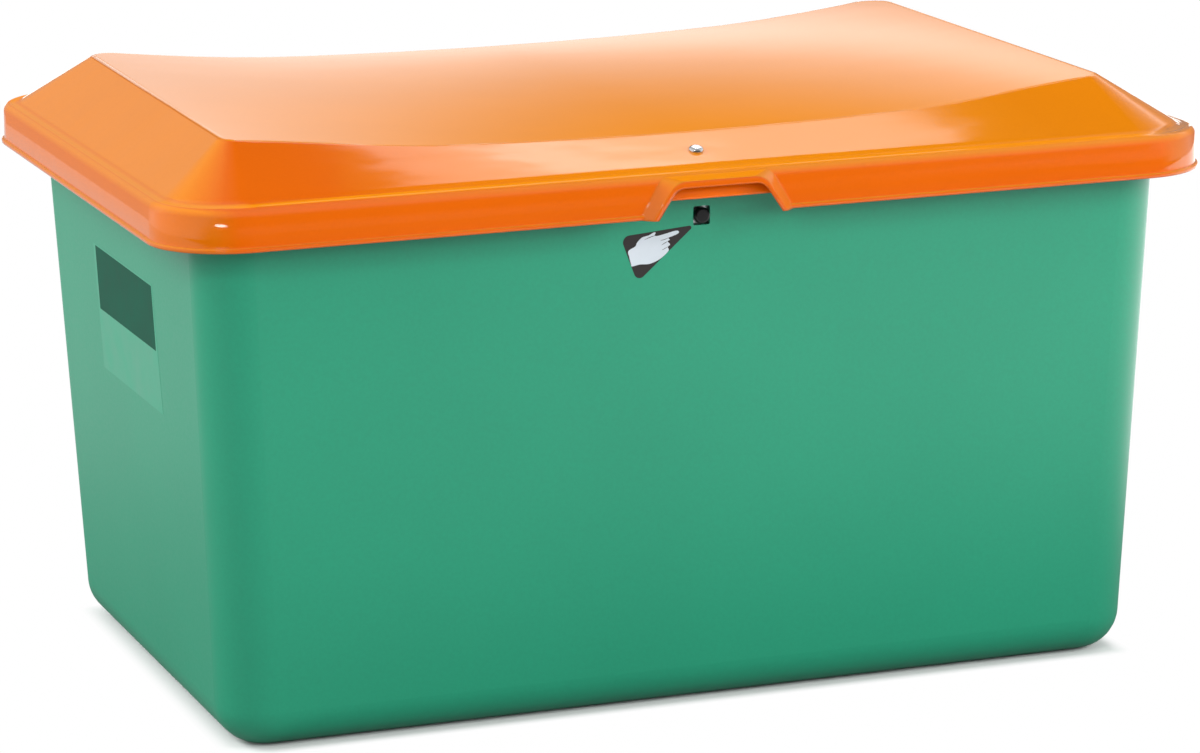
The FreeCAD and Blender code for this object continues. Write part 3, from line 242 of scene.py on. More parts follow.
matte_colour = mix_colours(tree, seen, BOUNCE_SHADE, PAPER_WHITE)
matte = add_node(tree, "ShaderNodeBsdfDiffuse", {"Color": matte_colour}).outputs[0]
across, rearward, _ = split(tree, place)
mirrored = overlap(
    tree,
    stretch_range(tree, rearward, *MIRROR_DEPTH, 1.0, MIRROR_BEHIND),
    stretch_range(tree, rearward, *PAPER_END, BEYOND_PAPER, 1.0, smooth=True),
    stretch_range(tree, across, *MIRROR_ACROSS, *MIRROR_SIDES),
)
strength = mix_numbers(tree, seen, mirrored, 1.0)
plain = add_node(tree, "ShaderNodeEmission", {"Color": (1, 1, 1, 1), "Strength": strength}).outputs[0]
mixed = add_node(tree, "ShaderNodeMixShader", {0: glow, 1: matte, 2: plain}).outputs[0]
add_node(tree, "ShaderNodeOutputMaterial", {"Surface": mixed})
print("mirrors see the paper's left and right at", MIRROR_SIDES)

# %% Lay the paper
FLOOR_HALF = 40.0
FLOOR_BELOW = 0.0005

floor_mesh = bpy.data.meshes.new("paper_floor")
corners = [(-1, -1), (1, -1), (1, 1), (-1, 1)]
corners = [(x * FLOOR_HALF, y * FLOOR_HALF, -FLOOR_BELOW) for x, y in corners]
floor_mesh.from_pydata(corners, [], [(0, 1, 2, 3)])
floor_mesh.materials.append(paper)
floor = bpy.data.objects.new("paper_floor", floor_mesh)
bpy.context.scene.collection.objects.link(floor)
print("floor reaches", FLOOR_HALF, "m to each side")

# %% [markdown]
# ## Room
# Glossy plastic shows the room it stands in. A photograph of a room could wrap the scene, but a
# few ranges on the direction of view do the same and can be tuned one by one. To the left, right
# and above, the room is a bright dome that lights the walls softly. It is dark on the viewer's
# side. Behind the bin a pale band lies low on the wall, brightest a little above the horizon, and
# it climbs to the right. The lid's top mirrors that band, and turns to its own deep orange where
# it dips and mirrors the dim wall above it. The camera itself sees plain white.

# %% Dome
DOME_LEVELS = (1.0, 0.65)
DOME_RISE = (0.2, 1.0)
VIEWER_SIDE = (-0.75, -0.35)
VIEWER_LEVEL = 0.10

room = bpy.data.worlds.new("studio_room")
room.use_nodes = True
bpy.context.scene.world = room
tree = room.node_tree
tree.nodes.clear()
rightward, backward, up = split(tree, add_node(tree, "ShaderNodeTexCoord").outputs["Generated"])
dome = overlap(
    tree,
    stretch_range(tree, up, *DOME_RISE, *DOME_LEVELS),
    stretch_range(tree, backward, *VIEWER_SIDE, VIEWER_LEVEL, 1.0, smooth=True),
)
print("dome brightness from its foot to its top:", DOME_LEVELS)

# %% Wall behind the bin
BAND_STEPS = [(0.0, 0.30), (0.10, 0.53), (0.14, 1.11), (0.18, 1.80), (0.22, 1.51)]
BAND_STEPS += [(0.26, 0.96), (0.30, 0.80), (0.34, 0.57), (0.40, 0.34), (0.50, 0.06)]
BAND_BRIGHTEST = 2.0
BAND_CLIMB = 2.55
BAND_CLIMB_ZERO = 0.33
BAND_CLIMB_SPAN = (0.2, 0.45)
BAND_STARTS = (0.0, 0.2)
LEFT_LEVEL = 0.40

climb = ((x - BAND_CLIMB_ZERO) * BAND_CLIMB for x in BAND_CLIMB_SPAN)
band_height = calculate(tree, "SUBTRACT", up, stretch_range(tree, rightward, *BAND_CLIMB_SPAN, *climb))
band = add_node(tree, "ShaderNodeValToRGB", {"Fac": band_height})
steps = band.color_ramp.elements
while len(steps) < len(BAND_STEPS):
    steps.new(1.0)
for step, (height, brightness) in zip(steps, BAND_STEPS):
    step.position = height
    step.color = (brightness / BAND_BRIGHTEST,) * 3 + (1,)
wall = calculate(tree, "MULTIPLY", band.outputs["Color"], BAND_BRIGHTEST)
wall = mix_numbers(tree, stretch_range(tree, rightward, *BAND_STARTS), LEFT_LEVEL, wall)
print("steps of the pale band, height and brightness:", BAND_STEPS)

# %% Put the wall into the dome
WALL_LEFT_DEGREES = (-34.0, -16.0)
WALL_RIGHT_DEGREES = (50.0, 75.0)

compass = calculate(tree, "MULTIPLY", calculate(tree, "ARCTAN2", rightward, backward), 180 / math.pi)
behind = overlap(
    tree,
    stretch_range(tree, compass, *WALL_LEFT_DEGREES, smooth=True),
    stretch_range(tree, compass, *WALL_RIGHT_DEGREES, 1.0, 0.0, smooth=True),
)
level = mix_numbers(tree, behind, dome, wall)
seen = clear_view(tree, add_node(tree, "ShaderNodeLightPath").outputs)
level = mix_numbers(tree, seen, level, 1.0)
grey = add_node(tree, "ShaderNodeCombineColor", {0: level, 1: level, 2: level}).outputs[0]
background = add_node(tree, "ShaderNodeBackground", {"Color": grey, "Strength": 1.0})
add_node(tree, "ShaderNodeOutputWorld", {"Surface": background.outputs[0]})
print("the wall spans from", WALL_LEFT_DEGREES[1], "to", WALL_RIGHT_DEGREES[0], "degrees")

# %% [markdown]
# ## Lamps
# Five large soft lamps light the bin from the left, the right, the front, its left corner and
# above. A lamp with a mirror image would paint a hard white square on the lid, so theirs is
# switched off. The bright streaks in the lid's front slope are mirror images, though, so two
# strips hang behind and above the bin for them alone: a long low one, and a shorter one above its
# left half. A small lamp gives the glint on the rim's corner.

# %% Lamps
LAMP_TARGET = Vector((0, -0.33, 0.62))


def soft_lamp(name, place, size, brightness, mirrored=False):
    """A rectangular soft lamp that faces the bin and shows that brightness."""
    width, tall = size
    lamp = bpy.data.lights.new(name, "AREA")
    lamp.shape = "RECTANGLE"
    lamp.size = width
    lamp.size_y = tall
    lamp.energy = brightness * math.pi * width * tall
    holder = bpy.data.objects.new(name, lamp)
    holder.location = place
    holder.rotation_euler = (LAMP_TARGET - Vector(place)).to_track_quat("-Z", "Y").to_euler()
    holder.visible_camera = False
    holder.visible_glossy = mirrored
    bpy.context.scene.collection.objects.link(holder)


def overhead(compass, elevation, distance):
    """A place seen from the lid's front slope at that compass angle and elevation, in degrees."""
    turn, rise = math.radians(compass), math.radians(elevation)
    level = distance * math.cos(rise)
    return LAMP_TARGET + Vector((level * math.sin(turn), level * math.cos(turn), distance * math.sin(rise)))


soft_lamp("left_lamp", (-3.0, 1.0, 2.3), size=(1.6, 1.6), brightness=9.5)
soft_lamp("right_lamp", (2.5, -3.0, 1.9), size=(1.6, 1.6), brightness=10.0)
soft_lamp("front_lamp", (0.3, -3.9, 1.6), size=(2.4, 1.4), brightness=3.1)
soft_lamp("front_left_lamp", (-2.4, -2.9, 1.8), size=(1.6, 1.6), brightness=4.0)
soft_lamp("top_lamp", (1.0, 0.3, 4.0), size=(1.6, 1.6), brightness=4.0)
soft_lamp("strip_long", overhead(24.0, 40.7, 3.6), size=(1.42, 0.30), brightness=1.9, mirrored=True)
soft_lamp("strip_short", overhead(17.5, 44.7, 3.4), size=(1.0, 0.42), brightness=1.5, mirrored=True)
soft_lamp("corner_glint", (-1.80, -2.61, 2.18), size=(0.70, 0.25), brightness=20.0, mirrored=True)

# %% [markdown]
# ## Effects that several finishes share
# Clouding, fibres and scratches show on more than one piece of the bin. Each could be copied into
# every material, but as a node group it is built once, and each material places it with its own
# scale. It puts out a number that varies over the surface, and the material decides what that
# number changes.

# %% Helpers for groups


def new_group(name, inputs, outputs):
    """An empty shader node group with named number or vector sockets."""
    tree = bpy.data.node_groups.new(name, "ShaderNodeTree")
    kinds = {"vector": "NodeSocketVector", "number": "NodeSocketFloat"}
    for label, kind, value in inputs:
        socket = tree.interface.new_socket(label, in_out="INPUT", socket_type=kinds[kind])
        if value is not None:
            socket.default_value = value
    for label in outputs:
        tree.interface.new_socket(label, in_out="OUTPUT", socket_type="NodeSocketFloat")
    return tree, tree.nodes.new("NodeGroupInput").outputs


def finish_group(tree, results):
    feed(tree, tree.nodes.new("NodeGroupOutput"), results)
    print("shared effect:", tree.name)


def place_group(tree, group, inputs):
    """Puts a group into a material and gives what it puts out."""
    return add_node(tree, "ShaderNodeGroup", inputs, node_tree=group).outputs


print("helpers for groups are ready")

# %% [markdown]
# ### Clouding
# Moulded plastic is never one even colour: the pigment clouds softly over a hand's width and
# speckles over a millimetre or two. One noise with much detail has every size in between as well,
# which looks like dirt, so two plain noises of very different scale are used.

# %% Clouding
CLOUD_MOST = (0.3, 0.7)
SPECK_MOST = (0.25, 0.75)

cloud_inputs = [("Place", "vector", None), ("Cloud Scale", "number", 4.0), ("Speck Scale", "number", 220.0)]
clouding, given = new_group("clouding", cloud_inputs, ["Cloud", "Speck"])
cloud = noise(clouding, given["Place"], given["Cloud Scale"], detail=3.0)
speck = noise(clouding, given["Place"], given["Speck Scale"], detail=1.0)
evened = {
    "Cloud": stretch_range(clouding, cloud, *CLOUD_MOST, -1.0, 1.0),
    "Speck": stretch_range(clouding, speck, *SPECK_MOST, -1.0, 1.0),
}
finish_group(clouding, evened)

# %% [markdown]
# ### Fibre mat
# The inside of the tub and the underside of the lid show the chopped glass strands: short straight
# threads that lie in every direction under a skin of resin. Modelled threads would run to
# millions, so three noises stand for them. Each is squeezed along a different axis until its blobs
# are threads, and the three cross each other.

# %% Fibre mat
THREAD_ANGLES = (0.3, 1.35, 2.4)
THREAD_LEAN = 0.7
THREAD_SQUEEZE = 0.12
THREAD_EDGE = (0.5, 0.62)

fibre_inputs = [("Place", "vector", None), ("Scale", "number", 90.0)]
fibre_mat, given = new_group("fibre_mat", fibre_inputs, ["Height"])
threads = 0.0
for angle in THREAD_ANGLES:
    inputs = {"Vector": given["Place"], "Rotation": (angle, angle * THREAD_LEAN, angle)}
    turned = add_node(fibre_mat, "ShaderNodeMapping", inputs).outputs["Vector"]
    thread = noise(fibre_mat, squeeze(fibre_mat, turned, THREAD_SQUEEZE), given["Scale"], detail=1.0)
    ridge = stretch_range(fibre_mat, thread, *THREAD_EDGE, smooth=True)
    threads = calculate(fibre_mat, "MAXIMUM", threads, ridge)
finish_group(fibre_mat, {"Height": threads})

# %% [markdown]
# ### Outside or inside
# The tub and the lid are each one solid whose outer skin came off a polished mould and whose inner
# skin did not. Their faces could be sorted into two materials, but the shape of such a shell tells
# them apart by itself: a point is on the outer skin where the surface faces away from a point in
# the shell's middle.

# %% Outside or inside
SKIN_EDGE = 0.004

skin_inputs = [("Place", "vector", None), ("Facing", "vector", None), ("Middle", "vector", (0, 0, 0))]
outer_skin, given = new_group("outer_skin", skin_inputs, ["Outside"])
away = calculate_vector(outer_skin, "SUBTRACT", given["Place"], given["Middle"])
faces_away = calculate_vector(outer_skin, "DOT_PRODUCT", away, given["Facing"])
finish_group(outer_skin, {"Outside": stretch_range(outer_skin, faces_away, -SKIN_EDGE, SKIN_EDGE)})

# %% [markdown]
# ### Hairline scratches
# Handling leaves fine straight scratches that only show in a reflection. A wave texture would
# space them evenly. Here they are the narrow bands where a strongly squeezed noise crosses its
# middle value, which come at random, and a second noise breaks them into short lengths.

# %% Hairline scratches
SCRATCH_ANGLES = (0.5, 1.9)
SCRATCH_LEAN = 0.4
SCRATCH_SQUEEZE = 0.03
SCRATCH_WIDTH = 0.004
NOISE_MIDDLE = 0.5
BREAK_SCALE = 9.0
BREAK_EDGE = (0.5, 0.62)

scratch_inputs = [("Place", "vector", None), ("Scale", "number", 30.0)]
scratches, given = new_group("scratches", scratch_inputs, ["Scratch"])
lines = 0.0
for angle in SCRATCH_ANGLES:
    inputs = {"Vector": given["Place"], "Rotation": (angle, SCRATCH_LEAN, angle)}
    turned = add_node(scratches, "ShaderNodeMapping", inputs).outputs["Vector"]
    bands = noise(scratches, squeeze(scratches, turned, SCRATCH_SQUEEZE), given["Scale"], detail=0.0)
    off_middle = calculate(scratches, "ABSOLUTE", calculate(scratches, "SUBTRACT", bands, NOISE_MIDDLE))
    lines = calculate(scratches, "MAXIMUM", lines, fade_out(scratches, off_middle, 0.0, SCRATCH_WIDTH))
breaks = stretch_range(scratches, noise(scratches, given["Place"], BREAK_SCALE), *BREAK_EDGE)
finish_group(scratches, {"Scratch": overlap(scratches, lines, breaks)})

# %% [markdown]
# ## Finishes
# Every finish on the bin starts from the same few things: a material, its Principled shader, the
# place on the piece and the way the surface faces there. The place is read in Object coordinates,
# so that a pattern stays put on a piece that swings or slides.

# %% Helpers for finishes


def start_finish(name):
    material = bpy.data.materials.new(name)
    material.use_nodes = True
    tree = material.node_tree
    tree.nodes.clear()
    shader = add_node(tree, "ShaderNodeBsdfPrincipled")
    add_node(tree, "ShaderNodeOutputMaterial", {"Surface": shader.outputs[0]})
    coordinates = add_node(tree, "ShaderNodeTexCoord").outputs
    return material, tree, shader, coordinates["Object"], coordinates["Normal"]


def cloudy(tree, clouds, base, clouding=0.0, specks=0.0):
    """A number round the base that goes up and down with the clouds and the specks."""
    for mask, amount in ((clouds["Cloud"], clouding), (clouds["Speck"], specks)):
        if amount:
            base = calculate(tree, "MULTIPLY_ADD", mask, amount, base)
    return base


def shade(tree, colour, amount):
    """The colour made lighter or darker by a number round 1."""
    grey = add_node(tree, "ShaderNodeCombineColor", {0: amount, 1: amount, 2: amount}).outputs[0]
    return mix_colours(tree, 1.0, colour, grey, "MULTIPLY")


def raised(tree, height, distance, strength, below=None):
    """A bump of that many metres, laid over another if one is given."""
    inputs = {"Height": height, "Distance": distance, "Strength": strength}
    if below is not None:
        inputs["Normal"] = below
    return add_node(tree, "ShaderNodeBump", inputs).outputs["Normal"]


print("helpers for finishes are ready")

# %% [markdown]
# ### Green tub
# The tub is coloured right through and has a satin skin. A coat over a matte base could give that,
# but the real skin has no coat, so plain roughness does it: the white paper shows only as a pale
# haze, stronger where it is seen at a flat angle. Inside, the fibre mat stands up a little and
# shines more than the resin between its threads.

# %% Green tub
TUB_GREEN = (0.014, 0.286, 0.160, 1)
TUB_INSIDE = (0.030, 0.330, 0.200, 1)
TUB_MIDDLE = (0, -0.006, 0.3)
TUB_ROUGHNESS = 0.40
TUB_INSIDE_ROUGHNESS = 0.62
TUB_INSIDE_DARKER = 0.05
TUB_THREAD_TONE = 0.14
SKIN_SCALE = 420.0
SKIN_HEIGHT = 0.00004
FIBRE_SCALE = 110.0
FIBRE_HEIGHT = 0.0004
FIBRE_ROUGHNESS = -0.18

tub_finish, tree, shader, place, facing = start_finish("tub_green")
outside = place_group(tree, outer_skin, {"Place": place, "Facing": facing, "Middle": TUB_MIDDLE})["Outside"]
clouds = place_group(tree, clouding, {"Place": place, "Cloud Scale": 3.5, "Speck Scale": 260.0})
tone = cloudy(tree, clouds, 1.0, clouding=0.035, specks=0.03)
mat = place_group(tree, fibre_mat, {"Place": place, "Scale": FIBRE_SCALE})["Height"]
resin_tone = calculate(tree, "SUBTRACT", tone, TUB_INSIDE_DARKER)
inner_tone = calculate(tree, "MULTIPLY_ADD", mat, TUB_THREAD_TONE, resin_tone)
colour = mix_colours(tree, outside, shade(tree, TUB_INSIDE, inner_tone), shade(tree, TUB_GREEN, tone))
outer_roughness = cloudy(tree, clouds, TUB_ROUGHNESS, specks=0.03)
inner_roughness = calculate(tree, "MULTIPLY_ADD", mat, FIBRE_ROUGHNESS, TUB_INSIDE_ROUGHNESS)
roughness = mix_numbers(tree, outside, inner_roughness, outer_roughness)
threads = overlap(tree, mat, calculate(tree, "SUBTRACT", 1.0, outside))
relief = raised(tree, noise(tree, place, SKIN_SCALE, detail=1.0), SKIN_HEIGHT, strength=0.35)
relief = raised(tree, threads, FIBRE_HEIGHT, strength=0.7, below=relief)
feed(tree, shader, {"Base Color": colour, "Roughness": roughness, "Normal": relief})
feed(tree, shader, {"Specular IOR Level": 0.5})
print("finish", tub_finish.name, "with", len(tree.nodes), "nodes")

# %% [markdown]
# ### Orange lid
# The lid has a coat of glossy resin, laid in the mould before the fibres. Light and shade are painted
# into its orange: faces that look up are painted a shade lighter and yellower, the front slope is
# painted darker at its left end and lighter at its right, and the pocket behind the grip hood is
# painted a brighter red against the hood's shadow. Separate materials for top, slopes, ends and pocket
# would show hard seams between them, so one material blends their colours by where a point is and how
# it faces.

# %% Lid: where a point is
LID_MIDDLE = (0, 0, 0.25)
POCKET_HALF = (0.066, 0.068)
POCKET_FRONT = (-0.4195, -0.4185)
POCKET_BACK = (-0.4025, -0.4015)
POCKET_TOP = (0.602, 0.604)
POCKET_FACING = (0.08, 0.12)

lid_finish, tree, shader, place, facing = start_finish("lid_orange")
place_x, place_y, place_z = split(tree, place)
facing_x, facing_y, facing_z = split(tree, facing)
off_centre_x = calculate(tree, "ABSOLUTE", place_x)
off_centre_y = calculate(tree, "ABSOLUTE", place_y)
outside = place_group(tree, outer_skin, {"Place": place, "Facing": facing, "Middle": LID_MIDDLE})["Outside"]
in_pocket = overlap(
    tree,
    fade_out(tree, off_centre_x, *POCKET_HALF),
    stretch_range(tree, place_y, *POCKET_FRONT),
    fade_out(tree, place_y, *POCKET_BACK),
    fade_out(tree, place_z, *POCKET_TOP),
    fade_out(tree, facing_z, *POCKET_FACING),
)
outside = calculate(tree, "MAXIMUM", outside, in_pocket)
print("pocket behind the grip hood:", round(2 * POCKET_HALF[0], 3), "m wide")

# %% Lid: colour, with light and shade painted in
# The skirt's colour is the lid's own orange. The other outer colours are painted light and shade.
LID_SIDE = (0.725, 0.120, 0.0004, 1)
# Painted shade and light: the front slope is darker at its left end and lighter at its right.
LID_SLOPE_LEFT_PAINTED_SHADE = (0.605, 0.103, 0.0004, 1)
LID_SLOPE_RIGHT_PAINTED_LIGHT = (0.605, 0.176, 0.0004, 1)
# Painted light: the ends and the top are lighter and yellower, as if more light fell on them.
LID_END_PAINTED_LIGHT = (0.690, 0.203, 0.0010, 1)
LID_END_SKIRT_PAINTED_LIGHT = (0.665, 0.146, 0.0005, 1)
LID_TOP_PAINTED_LIGHT = (0.720, 0.226, 0.0010, 1)
# Painted light: the pocket is a brighter red than the skirt, against the shadow of the hood.
LID_POCKET_PAINTED_LIGHT = (0.95, 0.160, 0.0010, 1)
LID_INSIDE = (0.62, 0.12, 0.012, 1)
LID_INSIDE_TONE = 0.9
LID_THREAD_TONE = 0.16
SLOPE_SHADE_TO_LIGHT = (-0.42, -0.05)
END_FROM = (0.455, 0.475)
END_FACING = (0.15, 0.45)
UPWARD_FACING = (0.1, 0.75)
TOP_FACING = (0.93, 0.99)

clouds = place_group(tree, clouding, {"Place": place, "Cloud Scale": 5.0, "Speck Scale": 300.0})
tone = cloudy(tree, clouds, 1.0, clouding=0.02, specks=0.012)
mat = place_group(tree, fibre_mat, {"Place": place, "Scale": FIBRE_SCALE})["Height"]
inner_tone = calculate(tree, "MULTIPLY_ADD", mat, LID_THREAD_TONE, LID_INSIDE_TONE)
# Painted light across the front slope, from its darker left end to its lighter right end.
rightward = stretch_range(tree, place_x, *SLOPE_SHADE_TO_LIGHT)
endward = stretch_range(tree, calculate(tree, "ABSOLUTE", facing_x), *END_FACING)
on_end = overlap(tree, endward, stretch_range(tree, off_centre_x, *END_FROM))
# Painted light on faces that look up, and on the ends.
upward = stretch_range(tree, facing_z, *UPWARD_FACING)
slope_light_and_shade = mix_colours(tree, rightward, LID_SLOPE_LEFT_PAINTED_SHADE, LID_SLOPE_RIGHT_PAINTED_LIGHT)
end_painted_light = mix_colours(tree, upward, LID_END_SKIRT_PAINTED_LIGHT, LID_END_PAINTED_LIGHT)
outer_colour = mix_colours(tree, upward, LID_SIDE, slope_light_and_shade)
outer_colour = mix_colours(tree, on_end, outer_colour, end_painted_light)
outer_colour = mix_colours(tree, stretch_range(tree, facing_z, *TOP_FACING), outer_colour, LID_TOP_PAINTED_LIGHT)
# Painted light in the pocket behind the grip hood, where the hood shades it.
outer_colour = mix_colours(tree, in_pocket, outer_colour, LID_POCKET_PAINTED_LIGHT)
colour = mix_colours(tree, outside, shade(tree, LID_INSIDE, inner_tone), shade(tree, outer_colour, tone))
print("lid colours blended: side, slopes, ends, top, pocket and inside")

# %% Lid: gloss
LID_ROUGHNESS = 0.090
LID_INSIDE_ROUGHNESS = 0.6
LID_SCRATCH_ROUGHNESS = 0.06

hairs = place_group(tree, scratches, {"Place": place, "Scale": 26.0})["Scratch"]
outer_roughness = cloudy(tree, clouds, LID_ROUGHNESS, clouding=0.012)
outer_roughness = calculate(tree, "MULTIPLY_ADD", hairs, LID_SCRATCH_ROUGHNESS, outer_roughness)
inner_roughness = calculate(tree, "MULTIPLY_ADD", mat, FIBRE_ROUGHNESS, LID_INSIDE_ROUGHNESS)
roughness = mix_numbers(tree, outside, inner_roughness, outer_roughness)
feed(tree, shader, {"Base Color": colour, "Roughness": roughness, "Specular IOR Level": 0.5})
print("roughness of the lid's skin:", LID_ROUGHNESS)

# %% [markdown]
# #### The sagging top
# The lid's top sags along its length and bellies gently from front to back. In the construction
# model it is a swept surface, and its facets would show as streaks in so glossy a skin. A finer
# mesh isn't possible, because the measured solid stays as it is. The material works out the way a
# smooth top would face and uses that for the light alone: each half has its own slope and curl,
# and the belly flattens towards the ends.

# %% Lid: the way the top faces
TOP_FRONT_FACING = (0.08, 0.16)
TOP_UP_FACING = (0.9, 0.96)
PANEL_HALF_LENGTH = (0.500, 0.508)
PANEL_HALF_WIDTH = (0.318, 0.326)
SAG_SLOPES = (0.300, 0.138)
SAG_CURLS = (0.066, -0.246)
BELLY_MIDDLE = 0.109
BELLY_CHANGE = -0.313
BELLY_CENTRE = 0.026
BELLY_REACH = 0.809
BELLY_END = 0.044

panel_along = fade_out(tree, off_centre_x, *PANEL_HALF_LENGTH)
panel = overlap(tree, panel_along, fade_out(tree, off_centre_y, *PANEL_HALF_WIDTH))
not_frontward = fade_out(tree, calculate(tree, "ABSOLUTE", facing_y), *TOP_FRONT_FACING)
on_top = overlap(tree, not_frontward, stretch_range(tree, facing_z, *TOP_UP_FACING), outside, panel)
belly = calculate(tree, "MULTIPLY_ADD", place_y, BELLY_CHANGE, BELLY_MIDDLE)
from_belly = calculate(tree, "ABSOLUTE", calculate(tree, "SUBTRACT", place_x, BELLY_CENTRE))
towards_end = stretch_range(tree, from_belly, 0.0, BELLY_REACH, smooth=True)
belly = mix_numbers(tree, towards_end, belly, BELLY_END)
right_half = calculate(tree, "GREATER_THAN", place_x, 0.0)
sag_slope, sag_curl = (
    calculate(tree, "MULTIPLY_ADD", right_half, left - right, -left)
    for left, right in (SAG_SLOPES, SAG_CURLS)
)
sag = calculate(tree, "MULTIPLY_ADD", calculate(tree, "MULTIPLY", place_x, place_x), sag_curl, sag_slope)
sag = calculate(tree, "MULTIPLY", sag, place_x)
frontward = calculate(tree, "MULTIPLY", belly, -1.0)
smooth_top = add_node(tree, "ShaderNodeCombineXYZ", {"X": sag, "Y": frontward, "Z": 1.0}).outputs[0]
print("smooth top over", 2 * PANEL_HALF_LENGTH[0], "x", 2 * PANEL_HALF_WIDTH[0], "m")

# %% [markdown]
# #### Shoulder and ledge
# The skirt curves in softly below its shoulder, and the ledge between the roof's foot and the rim
# falls off a little to the outside. Both are too slight to show in the outline, so they too are
# given to the light alone, as a lean that is added to the way the surface faces.

# %% Lid: shoulder of the skirt
UPRIGHT_FACING = (0.3, 0.75)
SHOULDER_FROM = 0.568
SHOULDER_TO = 0.600
SHOULDER_LEAN = 0.50

upright = fade_out(tree, calculate(tree, "ABSOLUTE", facing_z), *UPRIGHT_FACING)
shoulder = stretch_range(tree, place_z, SHOULDER_FROM, SHOULDER_TO, 0.0, SHOULDER_LEAN, smooth=True)
shoulder = overlap(tree, shoulder, overlap(tree, upright, outside))
print("the skirt curves in over", round(SHOULDER_TO - SHOULDER_FROM, 3), "m below its shoulder")

# %% Lid: ledge round the roof's foot
LEDGE_BOTTOM = (0.598, 0.600)
LEDGE_TOP = (0.6085, 0.6115)
LEDGE_UP_FACING = (0.80, 0.95)
LEDGE_ENDS = (0.50, 0.54)
LEDGE_END_LEAN = 0.70
LEDGE_FRONT = (0.33, 0.36)
LEDGE_FRONT_LEAN = 0.32

ledge = overlap(
    tree,
    stretch_range(tree, place_z, *LEDGE_BOTTOM),
    fade_out(tree, place_z, *LEDGE_TOP),
    calculate(tree, "SUBTRACT", 1.0, panel),
    stretch_range(tree, facing_z, *LEDGE_UP_FACING),
)
endward = stretch_range(tree, off_centre_x, *LEDGE_ENDS, 0.0, LEDGE_END_LEAN)
endward = overlap(tree, endward, calculate(tree, "SIGN", place_x), ledge)
frontward = stretch_range(tree, off_centre_y, *LEDGE_FRONT, 0.0, LEDGE_FRONT_LEAN)
frontward = overlap(tree, frontward, -1.0, ledge)
print("lean of the ledge at the ends and in front:", LEDGE_END_LEAN, LEDGE_FRONT_LEAN)

# %% [markdown]
# #### Rounded edges
# No edge of a moulding is knife sharp. A bevelled mesh would round them, but the measured solid
# stays as it is. A Bevel node looks at the edges round a point and gives the facing that a rounded
# edge would have. Only what it changes is added, so that the smooth top and the leans stay.

# %% Lid: lean and rounding put together
EDGE_SOFTNESS = 0.004
EDGE_SAMPLES = 6

lean = add_node(tree, "ShaderNodeCombineXYZ", {"X": endward, "Y": frontward, "Z": shoulder}).outputs[0]
bent = mix_vectors(tree, on_top, calculate_vector(tree, "ADD", facing, lean), smooth_top)
bent = calculate_vector(tree, "NORMALIZE", bent)
settings = {"vector_type": "NORMAL", "convert_from": "OBJECT", "convert_to": "WORLD"}
bent = add_node(tree, "ShaderNodeVectorTransform", {0: bent}, **settings).outputs[0]
softened = add_node(tree, "ShaderNodeBevel", {"Radius": EDGE_SOFTNESS}, samples=EDGE_SAMPLES).outputs[0]
true_facing = add_node(tree, "ShaderNodeNewGeometry").outputs["Normal"]
rounding = calculate_vector(tree, "SUBTRACT", softened, true_facing)
bent = calculate_vector(tree, "NORMALIZE", calculate_vector(tree, "ADD", bent, rounding))
print("edges look rounded by", EDGE_SOFTNESS, "m")

# %% [markdown]
# #### Fine relief
# The resin's surface follows the mould's hand-polished one, so reflections are clear but wander a
# little. A very fine orange peel lies over that, and the fibre mat stands up on the inside. All
# three are bumps on the bent surface. The wander is held back on the lid's top, where it would
# show most in the long reflection.

# %% Lid: fine relief
WANDER_SCALE = 7.0
WANDER_SQUEEZE = 2.2
WANDER_HEIGHT = 0.0010
WANDER_LESS_ON_TOP = -0.8
PEEL_SCALE = 180.0
PEEL_HEIGHT = 0.00003

wander = noise(tree, squeeze(tree, place, y=WANDER_SQUEEZE, z=WANDER_SQUEEZE), WANDER_SCALE)
calm = overlap(tree, wander, calculate(tree, "MULTIPLY_ADD", on_top, WANDER_LESS_ON_TOP, 1.0))
threads = overlap(tree, mat, calculate(tree, "SUBTRACT", 1.0, outside))
relief = raised(tree, calm, WANDER_HEIGHT, strength=0.5, below=bent)
relief = raised(tree, noise(tree, place, PEEL_SCALE, detail=1.0), PEEL_HEIGHT, strength=0.5, below=relief)
relief = raised(tree, threads, FIBRE_HEIGHT, strength=0.7, below=relief)
feed(tree, shader, {"Normal": relief})
print("finish", lid_finish.name, "with", len(tree.nodes), "nodes")

# %% [markdown]
# ### Black button
# The push button is a hard glossy moulding, and only its rounded rim catches the light. Its black
# isn't quite even, and fingers have left fine scratches that dull the gloss along their lines. A
# bump would make them look like grooves, so they change the roughness alone.

# %% Black button
BUTTON_BLACK = (0.004, 0.004, 0.0045, 1)
BUTTON_ROUGHNESS = 0.16
BUTTON_SCRATCH_ROUGHNESS = 0.15

button_finish, tree, shader, place, facing = start_finish("button_black")
clouds = place_group(tree, clouding, {"Place": place, "Cloud Scale": 60.0, "Speck Scale": 900.0})
tone = cloudy(tree, clouds, 1.0, clouding=0.15)
hairs = place_group(tree, scratches, {"Place": place, "Scale": 160.0})["Scratch"]
roughness = cloudy(tree, clouds, BUTTON_ROUGHNESS, specks=0.03)
roughness = calculate(tree, "MULTIPLY_ADD", hairs, BUTTON_SCRATCH_ROUGHNESS, roughness)
feed(tree, shader, {"Base Color": shade(tree, BUTTON_BLACK, tone), "Roughness": roughness})
feed(tree, shader, {"Specular IOR Level": 0.3})
print("finish", button_finish.name, "with", len(tree.nodes), "nodes")

# %% [markdown]
# ### Zinc-coated steel
# The hinge leaves, plates, nuts and the stirrup are dipped in zinc, which sets in crystals. A
# picture of such a sheet would repeat, so a Voronoi texture is used, whose cells are what crystals
# grow into: each has its own grey and its own gloss. On nuts and bolts the crystals are smaller.

